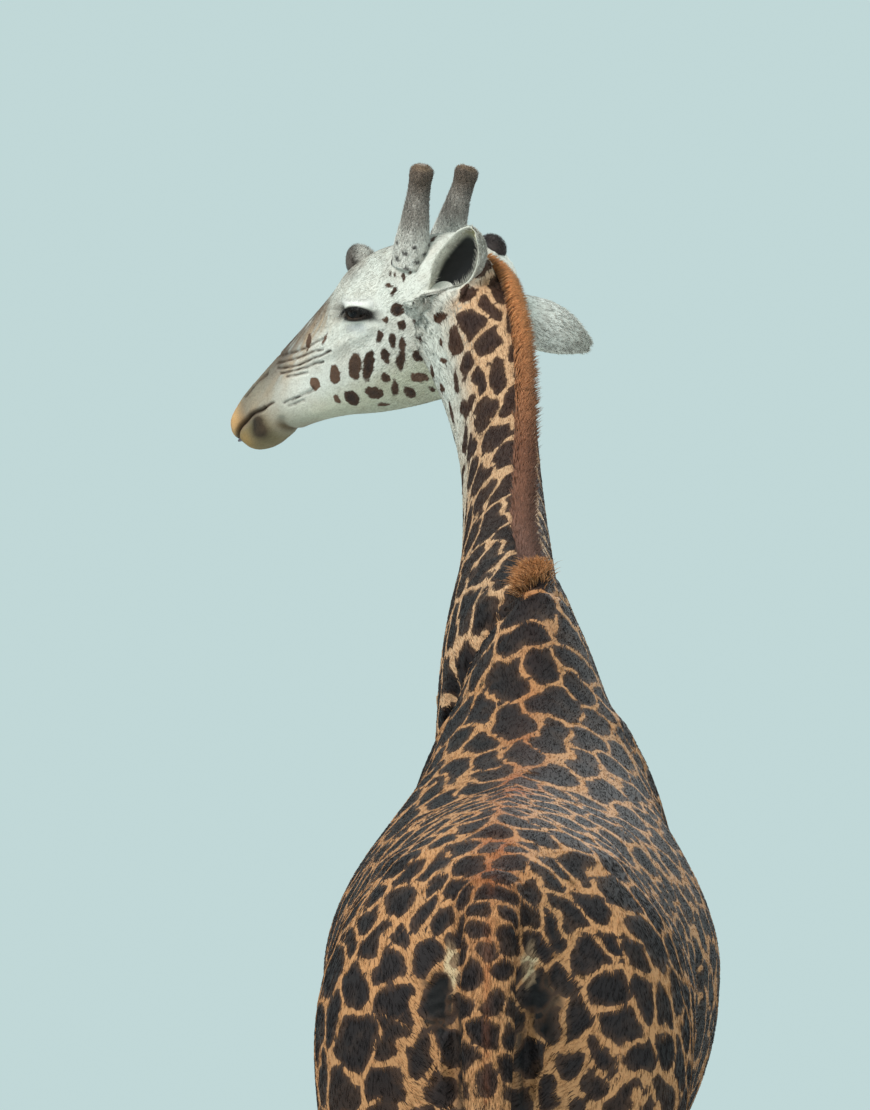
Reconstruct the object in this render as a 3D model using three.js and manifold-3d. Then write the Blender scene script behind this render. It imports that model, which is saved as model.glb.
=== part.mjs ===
// A Masai giraffe bull at life size, standing square with the neck stretched forward and the head turned
// to its left. It is modelled whole, as lofts along the spine, the neck, the head and the limbs, and then
// parted with thin cuts into the pieces that a person would name.
//
// Millimetres, +Z up. The giraffe faces +Y and its right side is +X. The floor is z = 0.

import * as THREE from 'three';
import { LoftGeometry } from 'three/addons/geometries/LoftGeometry.js';
import { mergeVertices } from 'three/addons/utils/BufferGeometryUtils.js';
import Module from 'manifold-3d';

const wasm = await Module();
wasm.setup();

// ---- driving dimensions ----

const GAP = 0.3;                                   // clearance left by every cut

// The middle of the outer box on the floor, in the body's coordinates.
const GROUND_CENTRE = new THREE.Vector3( - 200, 1528, 0 );

// Trunk: upright sections across the spine.
// [ y, top, widest, bottom, half-width, roundness above, roundness below ]
const TRUNK = [
	[ - 60, 2120, 2060, 2000, 30, 2, 2 ],
	[ - 35, 2200, 2050, 1880, 90, 2, 2 ],
	[ 20, 2285, 2040, 1790, 170, 2, 2 ],
	[ 100, 2355, 2030, 1740, 240, 2, 2.1 ],
	[ 220, 2420, 2040, 1725, 295, 1.9, 2.2 ],
	[ 380, 2462, 2080, 1725, 325, 1.85, 2.2 ],
	[ 740, 2520, 2160, 1715, 362, 1.85, 2.1 ],
	[ 900, 2565, 2180, 1705, 372, 1.8, 2.1 ],
	[ 1040, 2630, 2180, 1700, 368, 1.7, 2.1 ],
	[ 1180, 2725, 2170, 1705, 352, 1.55, 2 ],
	[ 1310, 2850, 2160, 1725, 330, 1.4, 2 ],
	[ 1430, 2955, 2150, 1755, 305, 1.25, 2 ],
	[ 1550, 2955, 2150, 1800, 285, 1.2, 2 ],
	[ 1680, 2880, 2170, 1860, 250, 1.3, 2 ],
	[ 1800, 2740, 2210, 1950, 200, 1.5, 2 ],
	[ 1890, 2560, 2270, 2070, 130, 1.8, 2 ],
	[ 1930, 2420, 2310, 2200, 50, 2, 2 ],
];

// Where the trunk is parted across the spine, from the rear. What is left ahead is the chest.
const SPINE_CUTS = [ [ 'rump', 620 ], [ 'barrel', 1285 ] ];

// Neck: sections square to the ridge that the mane grows from, twisting towards the turned head.
// [ ridge x, y, z, depth above the widest point, depth below it, half-width, twist in degrees ]
const NECK = [
	[ - 10, 1300, 2780, 240, 380, 120, 6 ],
	[ - 10, 1450, 2930, 240, 460, 130, 8 ],
	[ - 30, 1620, 3010, 210, 420, 124, 10 ],
	[ - 50, 1800, 3080, 180, 330, 110, 12 ],
	[ - 60, 2000, 3170, 155, 245, 91, 14 ],
	[ - 70, 2200, 3272, 140, 190, 77, 17 ],
	[ - 80, 2380, 3376, 125, 150, 70, 22 ],
	[ - 93, 2540, 3488, 115, 140, 68, 28 ],
	[ - 115, 2670, 3598, 105, 140, 71, 36 ],
	[ - 145, 2750, 3690, 100, 140, 74, 46 ],
	[ - 190, 2800, 3745, 90, 130, 68, 56 ],
];
const NECK_CUTS = [ 0.28, 0.58, 0.88 ];            // where the neck is parted, as shares of its length

// Head: sections square to its length, in the head's own frame: x forward, y left, z up.
// [ x, top, widest, bottom, half-width, roundness above, roundness below ]
const HEAD = [
	[ - 12, 0, - 45, - 90, 28, 2, 2 ],
	[ 5, 30, - 45, - 130, 48, 2, 2 ],
	[ 40, 68, - 45, - 170, 66, 2.1, 2 ],
	[ 100, 103, - 40, - 205, 80, 2.2, 1.9 ],
	[ 170, 128, - 20, - 222, 90, 2.3, 1.8 ],
	[ 240, 150, 0, - 220, 98, 2.3, 1.7 ],
	[ 310, 153, 25, - 200, 102, 2.3, 1.6 ],
	[ 370, 137, 25, - 178, 96, 2.2, 1.7 ],
	[ 440, 124, 20, - 147, 82, 2.1, 1.8 ],
	[ 510, 111, 10, - 110, 70, 2.1, 2 ],
	[ 580, 99, 5, - 82, 65, 2.2, 2.1 ],
	[ 640, 88, 5, - 66, 64, 2.2, 2.2 ],
	[ 700, 74, 5, - 60, 62, 2.2, 2.2 ],
	[ 745, 58, 10, - 45, 50, 2.1, 2.2 ],
	[ 775, 35, 15, - 10, 22, 2, 2 ],
];
const HEAD_AT = new THREE.Vector3( - 175, 2820, 3765 );
const HEAD_TURN = 58;                              // degrees to the left of straight ahead
const HEAD_NOD = 29;                               // degrees nose down
const HEAD_ROLL = 10;                              // degrees, right side raised
const MUZZLE_FROM = 560;                           // head x where the muzzle is parted from the head
const JAW_FROM = 455;                              // head x where the lower jaw is parted
const MOUTH_AT = 4;                                // head z of the mouth line

// Legs: level sections from the top down, for the right side.
// [ x, y, z, half-width, reach forward, reach back ]
const HIND = [
	[ 130, 340, 2340, 60, 140, 120 ],
	[ 160, 330, 2240, 115, 250, 210 ],
	[ 180, 310, 2100, 140, 310, 250 ],
	[ 190, 290, 1950, 138, 310, 240 ],
	[ 190, 290, 1790, 126, 275, 220 ],
	[ 186, 295, 1620, 105, 205, 190 ],
	[ 176, 240, 1460, 83, 145, 145 ],
	[ 166, 165, 1290, 64, 100, 105 ],
	[ 158, 100, 1130, 51, 72, 80 ],
	[ 152, 70, 1020, 50, 66, 85 ],
	[ 150, 66, 930, 50, 62, 72 ],
	[ 150, 80, 830, 41, 48, 54 ],
	[ 150, 100, 600, 35, 38, 46 ],
	[ 150, 120, 370, 37, 42, 50 ],
	[ 150, 130, 280, 52, 60, 66 ],
	[ 150, 150, 190, 48, 54, 54 ],
	[ 150, 170, 112, 64, 78, 70 ],
];
const FORE = [
	[ 110, 1360, 2640, 40, 70, 70 ],
	[ 145, 1420, 2500, 80, 130, 120 ],
	[ 175, 1480, 2300, 100, 175, 160 ],
	[ 190, 1500, 2110, 105, 190, 175 ],
	[ 190, 1470, 1940, 92, 155, 160 ],
	[ 180, 1430, 1790, 72, 108, 125 ],
	[ 170, 1425, 1630, 60, 85, 90 ],
	[ 160, 1430, 1420, 51, 66, 68 ],
	[ 152, 1432, 1210, 45, 55, 56 ],
	[ 150, 1432, 1090, 52, 63, 58 ],
	[ 150, 1435, 1000, 56, 69, 58 ],
	[ 150, 1430, 910, 46, 52, 52 ],
	[ 150, 1422, 660, 36, 37, 45 ],
	[ 150, 1420, 390, 38, 41, 50 ],
	[ 150, 1425, 285, 53, 60, 66 ],
	[ 150, 1448, 195, 49, 55, 55 ],
	[ 150, 1470, 112, 66, 80, 72 ],
];
const LIMB_ROUND = 2.2;
const NECK_ROUND = { above: 1.8, below: 2 };

// Each limb is parted from the trunk between two upright planes across the spine, and under a slope that
// rises from beside the middle of the belly, at `crotch`, to `crest` on the flank. `cuts` part its lengths.
const LIMBS = {
	hind: {
		rows: HIND, span: [ - 200, 650 ], crotch: 1690, crest: [ 310, 2345 ],
		names: [ 'thigh', 'shank', 'cannon', 'foot' ], cuts: [ 1560, 1075, 330 ],
	},
	fore: {
		rows: FORE, span: [ 1255, 1725 ], crotch: 1800, crest: [ 230, 2650 ],
		names: [ 'shoulder', 'forearm', 'cannon', 'foot' ], cuts: [ 1740, 1095, 330 ],
	},
};
const LIMB_INNER = 22;                             // how near the middle a limb's cut comes
const SLOPE_CLEAR = 1.2;                           // widens the gap sideways, to hold it across the slope
const WELL_CLEAR = 700;                            // beyond the widest part of the body
const BELOW_FLOOR = - 100;

// Each hoof has two claws. [ z, width of a claw, reach forward, reach back ]
const CLAW = [
	[ 111.7, 66, 84, 74 ],
	[ 35, 92, 130, 97 ],
	[ 0, 97, 148, 102 ],
];
const CLEFT = 7;                                   // half the cleft between the claws
const CLAW_INNER = 0.35;                           // share of a claw's width on the side of the cleft
const CLAW_ROUND = { outer: 2.2, inner: 7 };       // the cleft side is nearly flat

// Tail: [ y, z, half-width, half-depth ], hanging behind the rump; the long hair starts at TUFT_FROM.
const TAIL = [
	[ 90, 2300, 40, 34 ],
	[ - 10, 2262, 50, 42 ],
	[ - 88, 2190, 52, 40 ],
	[ - 118, 2060, 50, 34 ],
	[ - 126, 1900, 44, 28 ],
	[ - 128, 1720, 34, 22 ],
	[ - 124, 1540, 25, 18 ],
	[ - 118, 1400, 24, 20 ],
	[ - 114, 1300, 40, 34 ],
	[ - 110, 1120, 50, 42 ],
	[ - 106, 960, 44, 36 ],
	[ - 102, 840, 24, 18 ],
	[ - 100, 780, 6, 6 ],
];
const TAIL_MIDDLE_FROM = 1960;
const TUFT_FROM = 1385;

// Mane: a crest on the ridge of the neck.
const MANE_SPAN = [ 0.13, 0.975 ];                 // shares of the neck's length
const MANE_CUTS = [ 0.4, 0.68 ];
const MANE_HALF = 16;
const MANE_ROOT = 26;                              // how deep it sits in the neck
const MANE_HEIGHT = 34;
const MANE_ROUND = { above: 2.2, below: 3 };

// Ears, in the head's frame. [ share of length, radius of the shell, half-angle of the shell in degrees ]
const EAR = [
	[ 0, 24, 138 ],
	[ 0.16, 33, 124 ],
	[ 0.34, 47, 104 ],
	[ 0.54, 55, 84 ],
	[ 0.72, 50, 74 ],
	[ 0.87, 35, 66 ],
	[ 1, 13, 60 ],
];
const EAR_WALL = 7;
const EAR_THIN = 0.5;                              // share of the wall that is gone at the tip
const EAR_GAP = 1.2;                               // an ear's curled root needs a wider socket
const EAR_CHORD = 1.3;                             // keeps that clearance at the middle of each flat
const EARS = {
	left: { root: [ 137, 70, - 30 ], tip: [ - 68, 182, 4 ], open: [ 0.245, 0.9, 0.245 ] },
	right: { root: [ 128, - 68, - 52 ], tip: [ 46, - 244, - 245 ], open: [ 0.65, - 0.5, 0.15 ] },
};

// Horns, in the head's frame. [ share of length, radius ]
const OSSICONE = [
	[ 0, 42 ], [ 0.2, 40 ], [ 0.42, 33 ], [ 0.62, 27.5 ],
	[ 0.8, 25.5 ], [ 0.9, 27.5 ], [ 0.97, 23 ], [ 1, 12 ],
];
const OSSICONES = {
	left: { root: [ 164, 61, 62 ], tip: [ - 2, 90, 215 ] },
	right: { root: [ 150, - 60, 66 ], tip: [ - 4, - 90, 202 ] },
};
const MEDIAN_HORN = { at: [ 296, 0, 142 ], radii: [ 38, 34, 52 ] };
const OCCIPITAL_HORN = { at: [ 8, 0, - 4 ], radii: [ 36, 32, 36 ] };

const EYE = { at: [ 315, 80, 40 ], radius: 29 };   // y is mirrored for the right eye
const BROW = { at: [ 318, 72, 52 ], radii: [ 62, 36, 44 ] };
const LOWER_LIP = { at: [ 702, 0, - 18 ], radii: [ 66, 50, 42 ] };
const TONGUE = { at: [ 752, 12, - 6 ], radii: [ 26, 17, 5 ] };

const SCROTUM = { at: [ 0, 500, 1700 ], radii: [ 50, 66, 90 ] };
const SHEATH = { at: [ 0, 850, 1712 ], radii: [ 44, 160, 44 ] };

// The space of the lower jaw and the muzzle, in the head's frame: well past the head on every side.
const HEAD_SPACE = { ahead: 900, side: 200, above: 300, below: - 300 };

// How finely each form is lofted: rings along it, and sides round it.
const FINENESS = {
	trunk: [ 19, 20 ], neck: [ 14, 16 ], head: [ 15, 16 ], leg: [ 16, 10 ], mane: [ 15, 6 ], tail: [ 15, 8 ],
};
const CLAW_SIDES = 10;
const HORN_SIDES = 8;
const LUMP_SIDES = 8;
const EYE_SIDES = 10;
const EAR_STEPS = 5;                               // points along each arc of an ear's wall

const COLOURS = {
	coat: 0x6b4a33, pale: 0xb9b4a6, muzzle: 0xb08d66, mane: 0x8f4f26, dark: 0x2b2422,
	horn: 0x6d655e, hoof: 0x3a332d, eye: 0x120d0b, ear: 0xd0ccbc, tongue: 0x3d3946,
};

// ---- helpers ----

const radians = THREE.MathUtils.degToRad;
const vector = ( [ x, y, z ] ) => new THREE.Vector3( x, y, z );

/** Catmull-Rom through every row of a table; t runs from 0 to 1 over the whole table. */
function rowAt( table, t ) {

	const last = table.length - 1;
	const i = Math.min( Math.floor( t * last ), last - 1 );
	const f = t * last - i;
	const row = ( k, c ) => {

		if ( k < 0 ) return 2 * table[ 0 ][ c ] - table[ 1 ][ c ];
		if ( k > last ) return 2 * table[ last ][ c ] - table[ last - 1 ][ c ];
		return table[ k ][ c ];

	};

	return table[ 0 ].map( ( _, c ) => {

		const [ a, b, d, e ] = [ row( i - 1, c ), row( i, c ), row( i + 1, c ), row( i + 2, c ) ];
		return b + 0.5 * f * ( d - a + f * ( 2 * a - 5 * b + 4 * d - e + f * ( 3 * ( b - d ) + e - a ) ) );

	} );

}

/** Rows at even steps along a table, its ends included. */
function evenRows( table, count ) {

	return Array.from( { length: count }, ( _, k ) => rowAt( table, k / ( count - 1 ) ) );

}

/**
 * A closed outline round a centre. It reaches `half` to either side, `rise` along `up` and `fall` against
 * it, and each half is a superellipse, so 2 is an ellipse, less is leaner and more is squarer.
 */
function outline( { centre, side, up, half, rise, fall, above = 2, below = 2 }, count ) {

	return Array.from( { length: count }, ( _, k ) => {

		const angle = 2 * Math.PI * k / count;
		const [ c, s ] = [ Math.cos( angle ), Math.sin( angle ) ];
		const power = s >= 0 ? above : below;
		const r = ( Math.abs( c ) ** power + Math.abs( s ) ** power ) ** ( - 1 / power );
		const tall = s >= 0 ? rise : fall;
		return centre.clone().addScaledVector( side, half * r * c ).addScaledVector( up, tall * r * s );

	} );

}

/** A closed three.js geometry as a manifold solid. */
function solid( geometry ) {

	const plain = new THREE.BufferGeometry();
	plain.setAttribute( 'position', geometry.getAttribute( 'position' ) );
	plain.setIndex( geometry.index );
	const merged = mergeVertices( plain, 1e-3 );
	return new wasm.Manifold( new wasm.Mesh( {
		numProp: 3,
		vertProperties: new Float32Array( merged.attributes.position.array ),
		triVerts: new Uint32Array( merged.index.array ),
	} ) );

}

/** Twice the area of a ring as a vector, which points to where the ring is seen to run anticlockwise. */
function ringNormal( ring ) {

	const turned = ring.map( ( point, k ) => point.clone().cross( ring[ ( k + 1 ) % ring.length ] ) );
	return turned.reduce( ( sum, area ) => sum.add( area ), new THREE.Vector3() );

}

/** The mean of a ring's points. */
function middle( ring ) {

	return ring.reduce( ( sum, point ) => sum.add( point ), new THREE.Vector3() ).divideScalar( ring.length );

}

/** A capped loft through rings, which are turned round where its wall would face inwards. */
function loft( rings ) {

	const outwards = ringNormal( rings[ 0 ] ).dot( middle( rings[ 1 ] ).sub( middle( rings[ 0 ] ) ) ) > 0;
	const sections = outwards ? rings : rings.map( ( ring ) => [ ...ring ].reverse() );
	return solid( new LoftGeometry( sections, { capStart: true, capEnd: true } ) );

}

/** An ellipsoid in a frame, grown by `grow`. */
function ellipsoid( { at, radii }, frame, grow = 0, sides = LUMP_SIDES ) {

	const geometry = new THREE.SphereGeometry( 1, sides, Math.round( sides * 0.7 ) );
	geometry.scale( ...radii.map( ( r ) => r + grow ) ).translate( ...at ).applyMatrix4( frame );
	return solid( geometry );

}

/** A box in a frame, grown by `grow` on every side. */
function block( low, high, frame, grow = 0 ) {

	const size = vector( high ).sub( vector( low ) ).addScalar( 2 * grow );
	const centre = vector( low ).add( vector( high ) ).multiplyScalar( 0.5 );
	const geometry = new THREE.BoxGeometry( ...size );
	geometry.translate( ...centre ).applyMatrix4( frame );
	return solid( geometry );

}

/** Parts a solid at a plane into what lies ahead along the normal and what lies behind, a gap apart. */
function part( whole, point, normal ) {

	const n = normal.clone().normalize();
	const at = point.dot( n );
	return [
		whole.trimByPlane( n.toArray(), at + GAP / 2 ),
		whole.trimByPlane( n.clone().negate().toArray(), - at + GAP / 2 ),
	];

}

/** Sets a piece into its host: the host gets a socket for it with a gap all round. */
function setInto( host, make, clearance = GAP ) {

	return [ host.subtract( make( clearance ) ), make( 0 ) ];

}

/** The largest single body of a solid, without the crumbs that cuts can leave. */
function largest( whole ) {

	return whole.decompose().reduce( ( a, b ) => ( b.volume() > a.volume() ? b : a ) );

}

/** Mirrors an array of x, y, z across y = 0. */
const mirrorY = ( [ x, y, z ] ) => [ x, - y, z ];

const BODY = new THREE.Matrix4();                  // the body's own frame
const X = new THREE.Vector3( 1, 0, 0 );
const Y = new THREE.Vector3( 0, 1, 0 );
const Z = new THREE.Vector3( 0, 0, 1 );

/** The head's frame: forward, left and up after the turn, the nod and the roll. */
function headFrame() {

	const turn = radians( 90 + HEAD_TURN );
	const nod = radians( HEAD_NOD );
	const roll = radians( HEAD_ROLL );
	const level = new THREE.Vector3( Math.cos( turn ), Math.sin( turn ), 0 );
	const forward = level.multiplyScalar( Math.cos( nod ) ).setZ( - Math.sin( nod ) );
	const left = new THREE.Vector3( - Math.sin( turn ), Math.cos( turn ), 0 );
	left.applyAxisAngle( forward, - roll );
	const up = forward.clone().cross( left );
	return new THREE.Matrix4().makeBasis( forward, left, up ).setPosition( HEAD_AT );

}

const HEAD_FRAME = headFrame();

// ---- flesh ----

function trunkLoft() {

	const [ rings, sides ] = FINENESS.trunk;
	return loft( evenRows( TRUNK, rings ).map( ( [ y, top, widest, bottom, half, above, below ] ) => outline( {
		centre: new THREE.Vector3( 0, y, widest ), side: X, up: Z,
		half, rise: top - widest, fall: widest - bottom, above, below,
	}, sides ) ) );

}

/** The neck's frame at a share of its length: its ridge, the way along, and the twisted side and up. */
function neckAt( t ) {

	const row = rowAt( NECK, t );
	const step = 0.01;
	const before = vector( rowAt( NECK, Math.max( t - step, 0 ) ) );
	const ahead = vector( rowAt( NECK, Math.min( t + step, 1 ) ) ).sub( before ).normalize();
	const side = ahead.clone().cross( Z ).normalize();
	const twist = radians( row[ 6 ] );
	const up = side.clone().cross( ahead ).applyAxisAngle( ahead, twist );
	side.applyAxisAngle( ahead, twist );
	const [ , , , rise, fall, half ] = row;
	return { ridge: vector( row ), ahead, side, up, rise, fall, half };

}

function neckLoft() {

	const [ rings, sides ] = FINENESS.neck;
	return loft( Array.from( { length: rings }, ( _, k ) => {

		const { ridge, side, up, rise, fall, half } = neckAt( k / ( rings - 1 ) );
		const centre = ridge.clone().addScaledVector( up, - rise );
		return outline( { centre, side, up, half, rise, fall, ...NECK_ROUND }, sides );

	} ) );

}

function headSolid() {

	const left = new THREE.Vector3( 0, 1, 0 );
	const [ rings, sides ] = FINENESS.head;
	const skull = loft( evenRows( HEAD, rings ).map( ( [ x, top, widest, bottom, half, above, below ] ) => {

		const ring = outline( {
			centre: new THREE.Vector3( x, 0, widest ), side: left, up: Z,
			half, rise: top - widest, fall: widest - bottom, above, below,
		}, sides );
		return ring.map( ( point ) => point.applyMatrix4( HEAD_FRAME ) );

	} ) );
	const lumps = [ BROW, { ...BROW, at: mirrorY( BROW.at ) }, LOWER_LIP ];
	return lumps.reduce( ( whole, lump ) => whole.add( ellipsoid( lump, HEAD_FRAME ) ), skull );

}

/** A leg's loft on one side (1 right, -1 left). */
function legLoft( rows, sign ) {

	const [ rings, sides ] = FINENESS.leg;
	return loft( evenRows( rows, rings ).map( ( [ x, y, z, half, front, back ] ) => outline( {
		centre: new THREE.Vector3( sign * x, y, z ), side: X, up: Y,
		half, rise: front, fall: back, above: LIMB_ROUND, below: LIMB_ROUND,
	}, sides ) ) );

}

/** The space that belongs to a limb: a prism along the spine, under the slope of its cut. */
function limbSpace( { span, crotch, crest }, sign, grow ) {

	const clear = SLOPE_CLEAR * grow;
	const inner = LIMB_INNER - clear;
	const [ crestX, crestZ ] = crest;
	const profile = [
		[ inner, BELOW_FLOOR ], [ inner, crotch ], [ crestX - clear, crestZ ],
		[ WELL_CLEAR, crestZ ], [ WELL_CLEAR, BELOW_FLOOR ],
	];
	const ring = ( y ) => profile.map( ( [ x, z ] ) => new THREE.Vector3( sign * x, y, z ) );
	return loft( [ ring( span[ 0 ] - grow ), ring( span[ 1 ] + grow ) ] );

}

// ---- small pieces ----

/** A claw of a hoof: level rings, flat on the side of the cleft and on the sole. */
function claw( [ x, y ], outwards ) {

	const up = X.clone().multiplyScalar( outwards );
	return loft( CLAW.map( ( [ z, width, front, back ] ) => {

		const across = x + outwards * ( CLEFT + width * CLAW_INNER );
		return outline( {
			centre: new THREE.Vector3( across, y + ( front - back ) / 2, z ), side: Y, up,
			half: ( front + back ) / 2, rise: width * ( 1 - CLAW_INNER ), fall: width * CLAW_INNER,
			above: CLAW_ROUND.outer, below: CLAW_ROUND.inner,
		}, CLAW_SIDES );

	} ) );

}

/** A horn: round rings from a root inside the skull to a knobbed tip. */
function ossicone( { root, tip }, grow ) {

	const axis = vector( tip ).sub( vector( root ) );
	const side = axis.clone().cross( Y ).normalize();
	const up = side.clone().cross( axis ).normalize();
	return loft( OSSICONE.map( ( [ share, radius ], k ) => {

		const back = k === 0 ? - grow / axis.length() : 0;
		const centre = vector( root ).addScaledVector( axis, share ).addScaledVector( axis, back );
		const reach = radius + grow;
		const ring = outline( { centre, side, up, half: reach, rise: reach, fall: reach }, HORN_SIDES );
		return ring.map( ( point ) => point.applyMatrix4( HEAD_FRAME ) );

	} ) );

}

/** An ear: a leaf-shaped shell, open on one side. Each ring goes round outside and comes back inside. */
function ear( { root, tip, open }, grow ) {

	const axis = vector( tip ).sub( vector( root ) );
	const along = axis.clone().normalize();
	const mouth = vector( open ).addScaledVector( along, - vector( open ).dot( along ) ).normalize();
	const side = along.clone().cross( mouth );
	return loft( EAR.map( ( [ share, radius, spread ], k ) => {

		const centre = vector( root ).addScaledVector( axis, share );
		if ( k === 0 ) centre.addScaledVector( along, - grow );
		const wall = EAR_WALL * ( 1 - EAR_THIN * share );
		const arc = ( r, way ) => Array.from( { length: EAR_STEPS }, ( _, i ) => {

			const turn = way * ( 2 * i / ( EAR_STEPS - 1 ) - 1 );
			const angle = radians( spread ) * turn;
			const past = Math.trunc( turn ) * grow;        // only the ends of the arc reach further along it
			const [ c, s ] = [ Math.cos( angle ), Math.sin( angle ) ];
			const point = centre.clone().addScaledVector( side, r * s + past * c );
			return point.addScaledVector( mouth, past * s - r * c );

		} );
		const chord = EAR_CHORD * grow;
		return [ ...arc( radius + chord, 1 ), ...arc( radius - wall - chord, - 1 ) ];

	} ).map( ( ring ) => ring.map( ( point ) => point.applyMatrix4( HEAD_FRAME ) ) ) );

}

/** The mane: a thin crest along the ridge of the neck, rooted in it. */
function maneLoft( grow ) {

	const [ from, to ] = MANE_SPAN;
	const [ rings, sides ] = FINENESS.mane;
	return loft( Array.from( { length: rings }, ( _, k ) => {

		const share = k / ( rings - 1 );
		const { ridge, ahead, side, up } = neckAt( THREE.MathUtils.lerp( from, to, share ) );
		const end = k === 0 ? - grow : k === rings - 1 ? grow : 0;
		const fade = Math.min( 1, 0.25 + 5 * share, 0.45 + 6 * ( 1 - share ) ); // lower towards both ends
		return outline( {
			centre: ridge.addScaledVector( ahead, end ), side, up,
			half: MANE_HALF + grow, rise: MANE_HEIGHT * fade + grow, fall: MANE_ROOT + grow, ...MANE_ROUND,
		}, sides );

	} ) );

}

function tailLoft( grow ) {

	const [ rings, sides ] = FINENESS.tail;
	const rows = evenRows( TAIL, rings );
	return loft( rows.map( ( [ y, z, half, depth ], k ) => {

		const before = rows[ Math.max( k - 1, 0 ) ];
		const after = rows[ Math.min( k + 1, rows.length - 1 ) ];
		const along = new THREE.Vector3( 0, after[ 0 ] - before[ 0 ], after[ 1 ] - before[ 1 ] ).normalize();
		const centre = new THREE.Vector3( 0, y, z ).addScaledVector( along, k === 0 ? - grow : 0 );
		const up = along.clone().cross( X );
		return outline( {
			centre, side: X, up, half: half + grow, rise: depth + grow, fall: depth + grow,
		}, sides );

	} ) );

}

// ---- assembly ----

const pieces = new Map();                          // node name -> [ solid, colour ]
const keep = ( name, shape, colour ) => pieces.set( name, [ largest( shape ), colour ] );
const SIDES = { right: 1, left: - 1 };

// The flesh is joined first, so that each limb flows into the trunk.
let flesh = trunkLoft().add( neckLoft() ).add( headSolid() );
for ( const lump of [ SCROTUM, SHEATH ] ) flesh = flesh.add( ellipsoid( lump, BODY ) );
for ( const { rows } of Object.values( LIMBS ) ) {

	for ( const sign of Object.values( SIDES ) ) flesh = flesh.add( legLoft( rows, sign ) );

}

// Legs: each is what lies in the limb's own space, parted at its joints.
for ( const [ limb, { rows, names, cuts, ...space } ] of Object.entries( LIMBS ) ) {

	for ( const [ sideName, sign ] of Object.entries( SIDES ) ) {

		const label = `${ limb }_${ sideName }`;
		let limbRest = largest( flesh.intersect( limbSpace( space, sign, 0 ) ) );
		flesh = flesh.subtract( limbSpace( space, sign, GAP ) );
		cuts.forEach( ( z, k ) => {

			const [ above, below ] = part( limbRest, new THREE.Vector3( 0, 0, z ), Z );
			keep( `${ label }_${ names[ k ] }`, above, COLOURS.coat );
			limbRest = below;

		} );
		keep( `${ label }_${ names.at( - 1 ) }`, limbRest, COLOURS.pale );
		const [ footX, footY ] = rows.at( - 1 );
		keep( `${ label }_claw_outer`, claw( [ sign * footX, footY ], sign ), COLOURS.hoof );
		keep( `${ label }_claw_inner`, claw( [ sign * footX, footY ], - sign ), COLOURS.hoof );

	}

}

// What is set into the flesh.
let set;
[ flesh, set ] = setInto( flesh, tailLoft );
const [ tailRoot, tailRest ] = part( set, new THREE.Vector3( 0, 0, TAIL_MIDDLE_FROM ), Z );
const [ tailMiddle, tailTuft ] = part( tailRest, new THREE.Vector3( 0, 0, TUFT_FROM ), Z );
keep( 'tail_root', tailRoot, COLOURS.coat );
keep( 'tail_middle', tailMiddle, COLOURS.coat );
keep( 'tail_tuft', tailTuft, COLOURS.dark );

[ flesh, set ] = setInto( flesh, maneLoft );
const manes = [];
for ( const share of MANE_CUTS ) {

	const { ridge, ahead } = neckAt( share );
	const [ beyond, before ] = part( set, ridge, ahead );
	manes.push( before );
	set = beyond;

}

const MANE_PIECES = [ 'mane_lower', 'mane_middle', 'mane_upper' ];
[ ...manes, set ].forEach( ( shape, k ) => keep( MANE_PIECES[ k ], shape, COLOURS.mane ) );

for ( const sideName of [ 'left', 'right' ] ) {

	const centre = sideName === 'left' ? EYE.at : mirrorY( EYE.at );
	const ball = { at: centre, radii: Array( 3 ).fill( EYE.radius ) };
	[ flesh, set ] = setInto( flesh, ( grow ) => ellipsoid( ball, HEAD_FRAME, grow, EYE_SIDES ) );
	keep( `eye_${ sideName }`, set, COLOURS.eye );
	[ flesh, set ] = setInto( flesh, ( grow ) => ossicone( OSSICONES[ sideName ], grow ) );
	keep( `ossicone_${ sideName }`, set, COLOURS.horn );
	[ flesh, set ] = setInto( flesh, ( grow ) => ear( EARS[ sideName ], grow ), EAR_GAP );
	keep( `ear_${ sideName }`, set, COLOURS.ear );

}

[ flesh, set ] = setInto( flesh, ( grow ) => ellipsoid( MEDIAN_HORN, HEAD_FRAME, grow ) );
keep( 'horn_median', set, COLOURS.horn );
[ flesh, set ] = setInto( flesh, ( grow ) => ellipsoid( OCCIPITAL_HORN, HEAD_FRAME, grow ) );
keep( 'horn_occipital', set, COLOURS.horn );
[ flesh, set ] = setInto( flesh, ( grow ) => ellipsoid( TONGUE, HEAD_FRAME, grow ) );
keep( 'tongue_tip', set, COLOURS.tongue );

// The spine, from the rump to the neck.
flesh = largest( flesh );
for ( const [ name, y ] of SPINE_CUTS ) {

	let behind;
	[ flesh, behind ] = part( flesh, new THREE.Vector3( 0, y, 0 ), Y );
	keep( name, behind, COLOURS.coat );

}

const NECK_PIECES = [ 'chest', 'neck_lower', 'neck_upper' ];
NECK_CUTS.forEach( ( share, k ) => {

	const { ridge, ahead } = neckAt( share );
	let behind;
	[ flesh, behind ] = part( flesh, ridge, ahead );
	keep( NECK_PIECES[ k ], behind, COLOURS.coat );

} );

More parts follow.
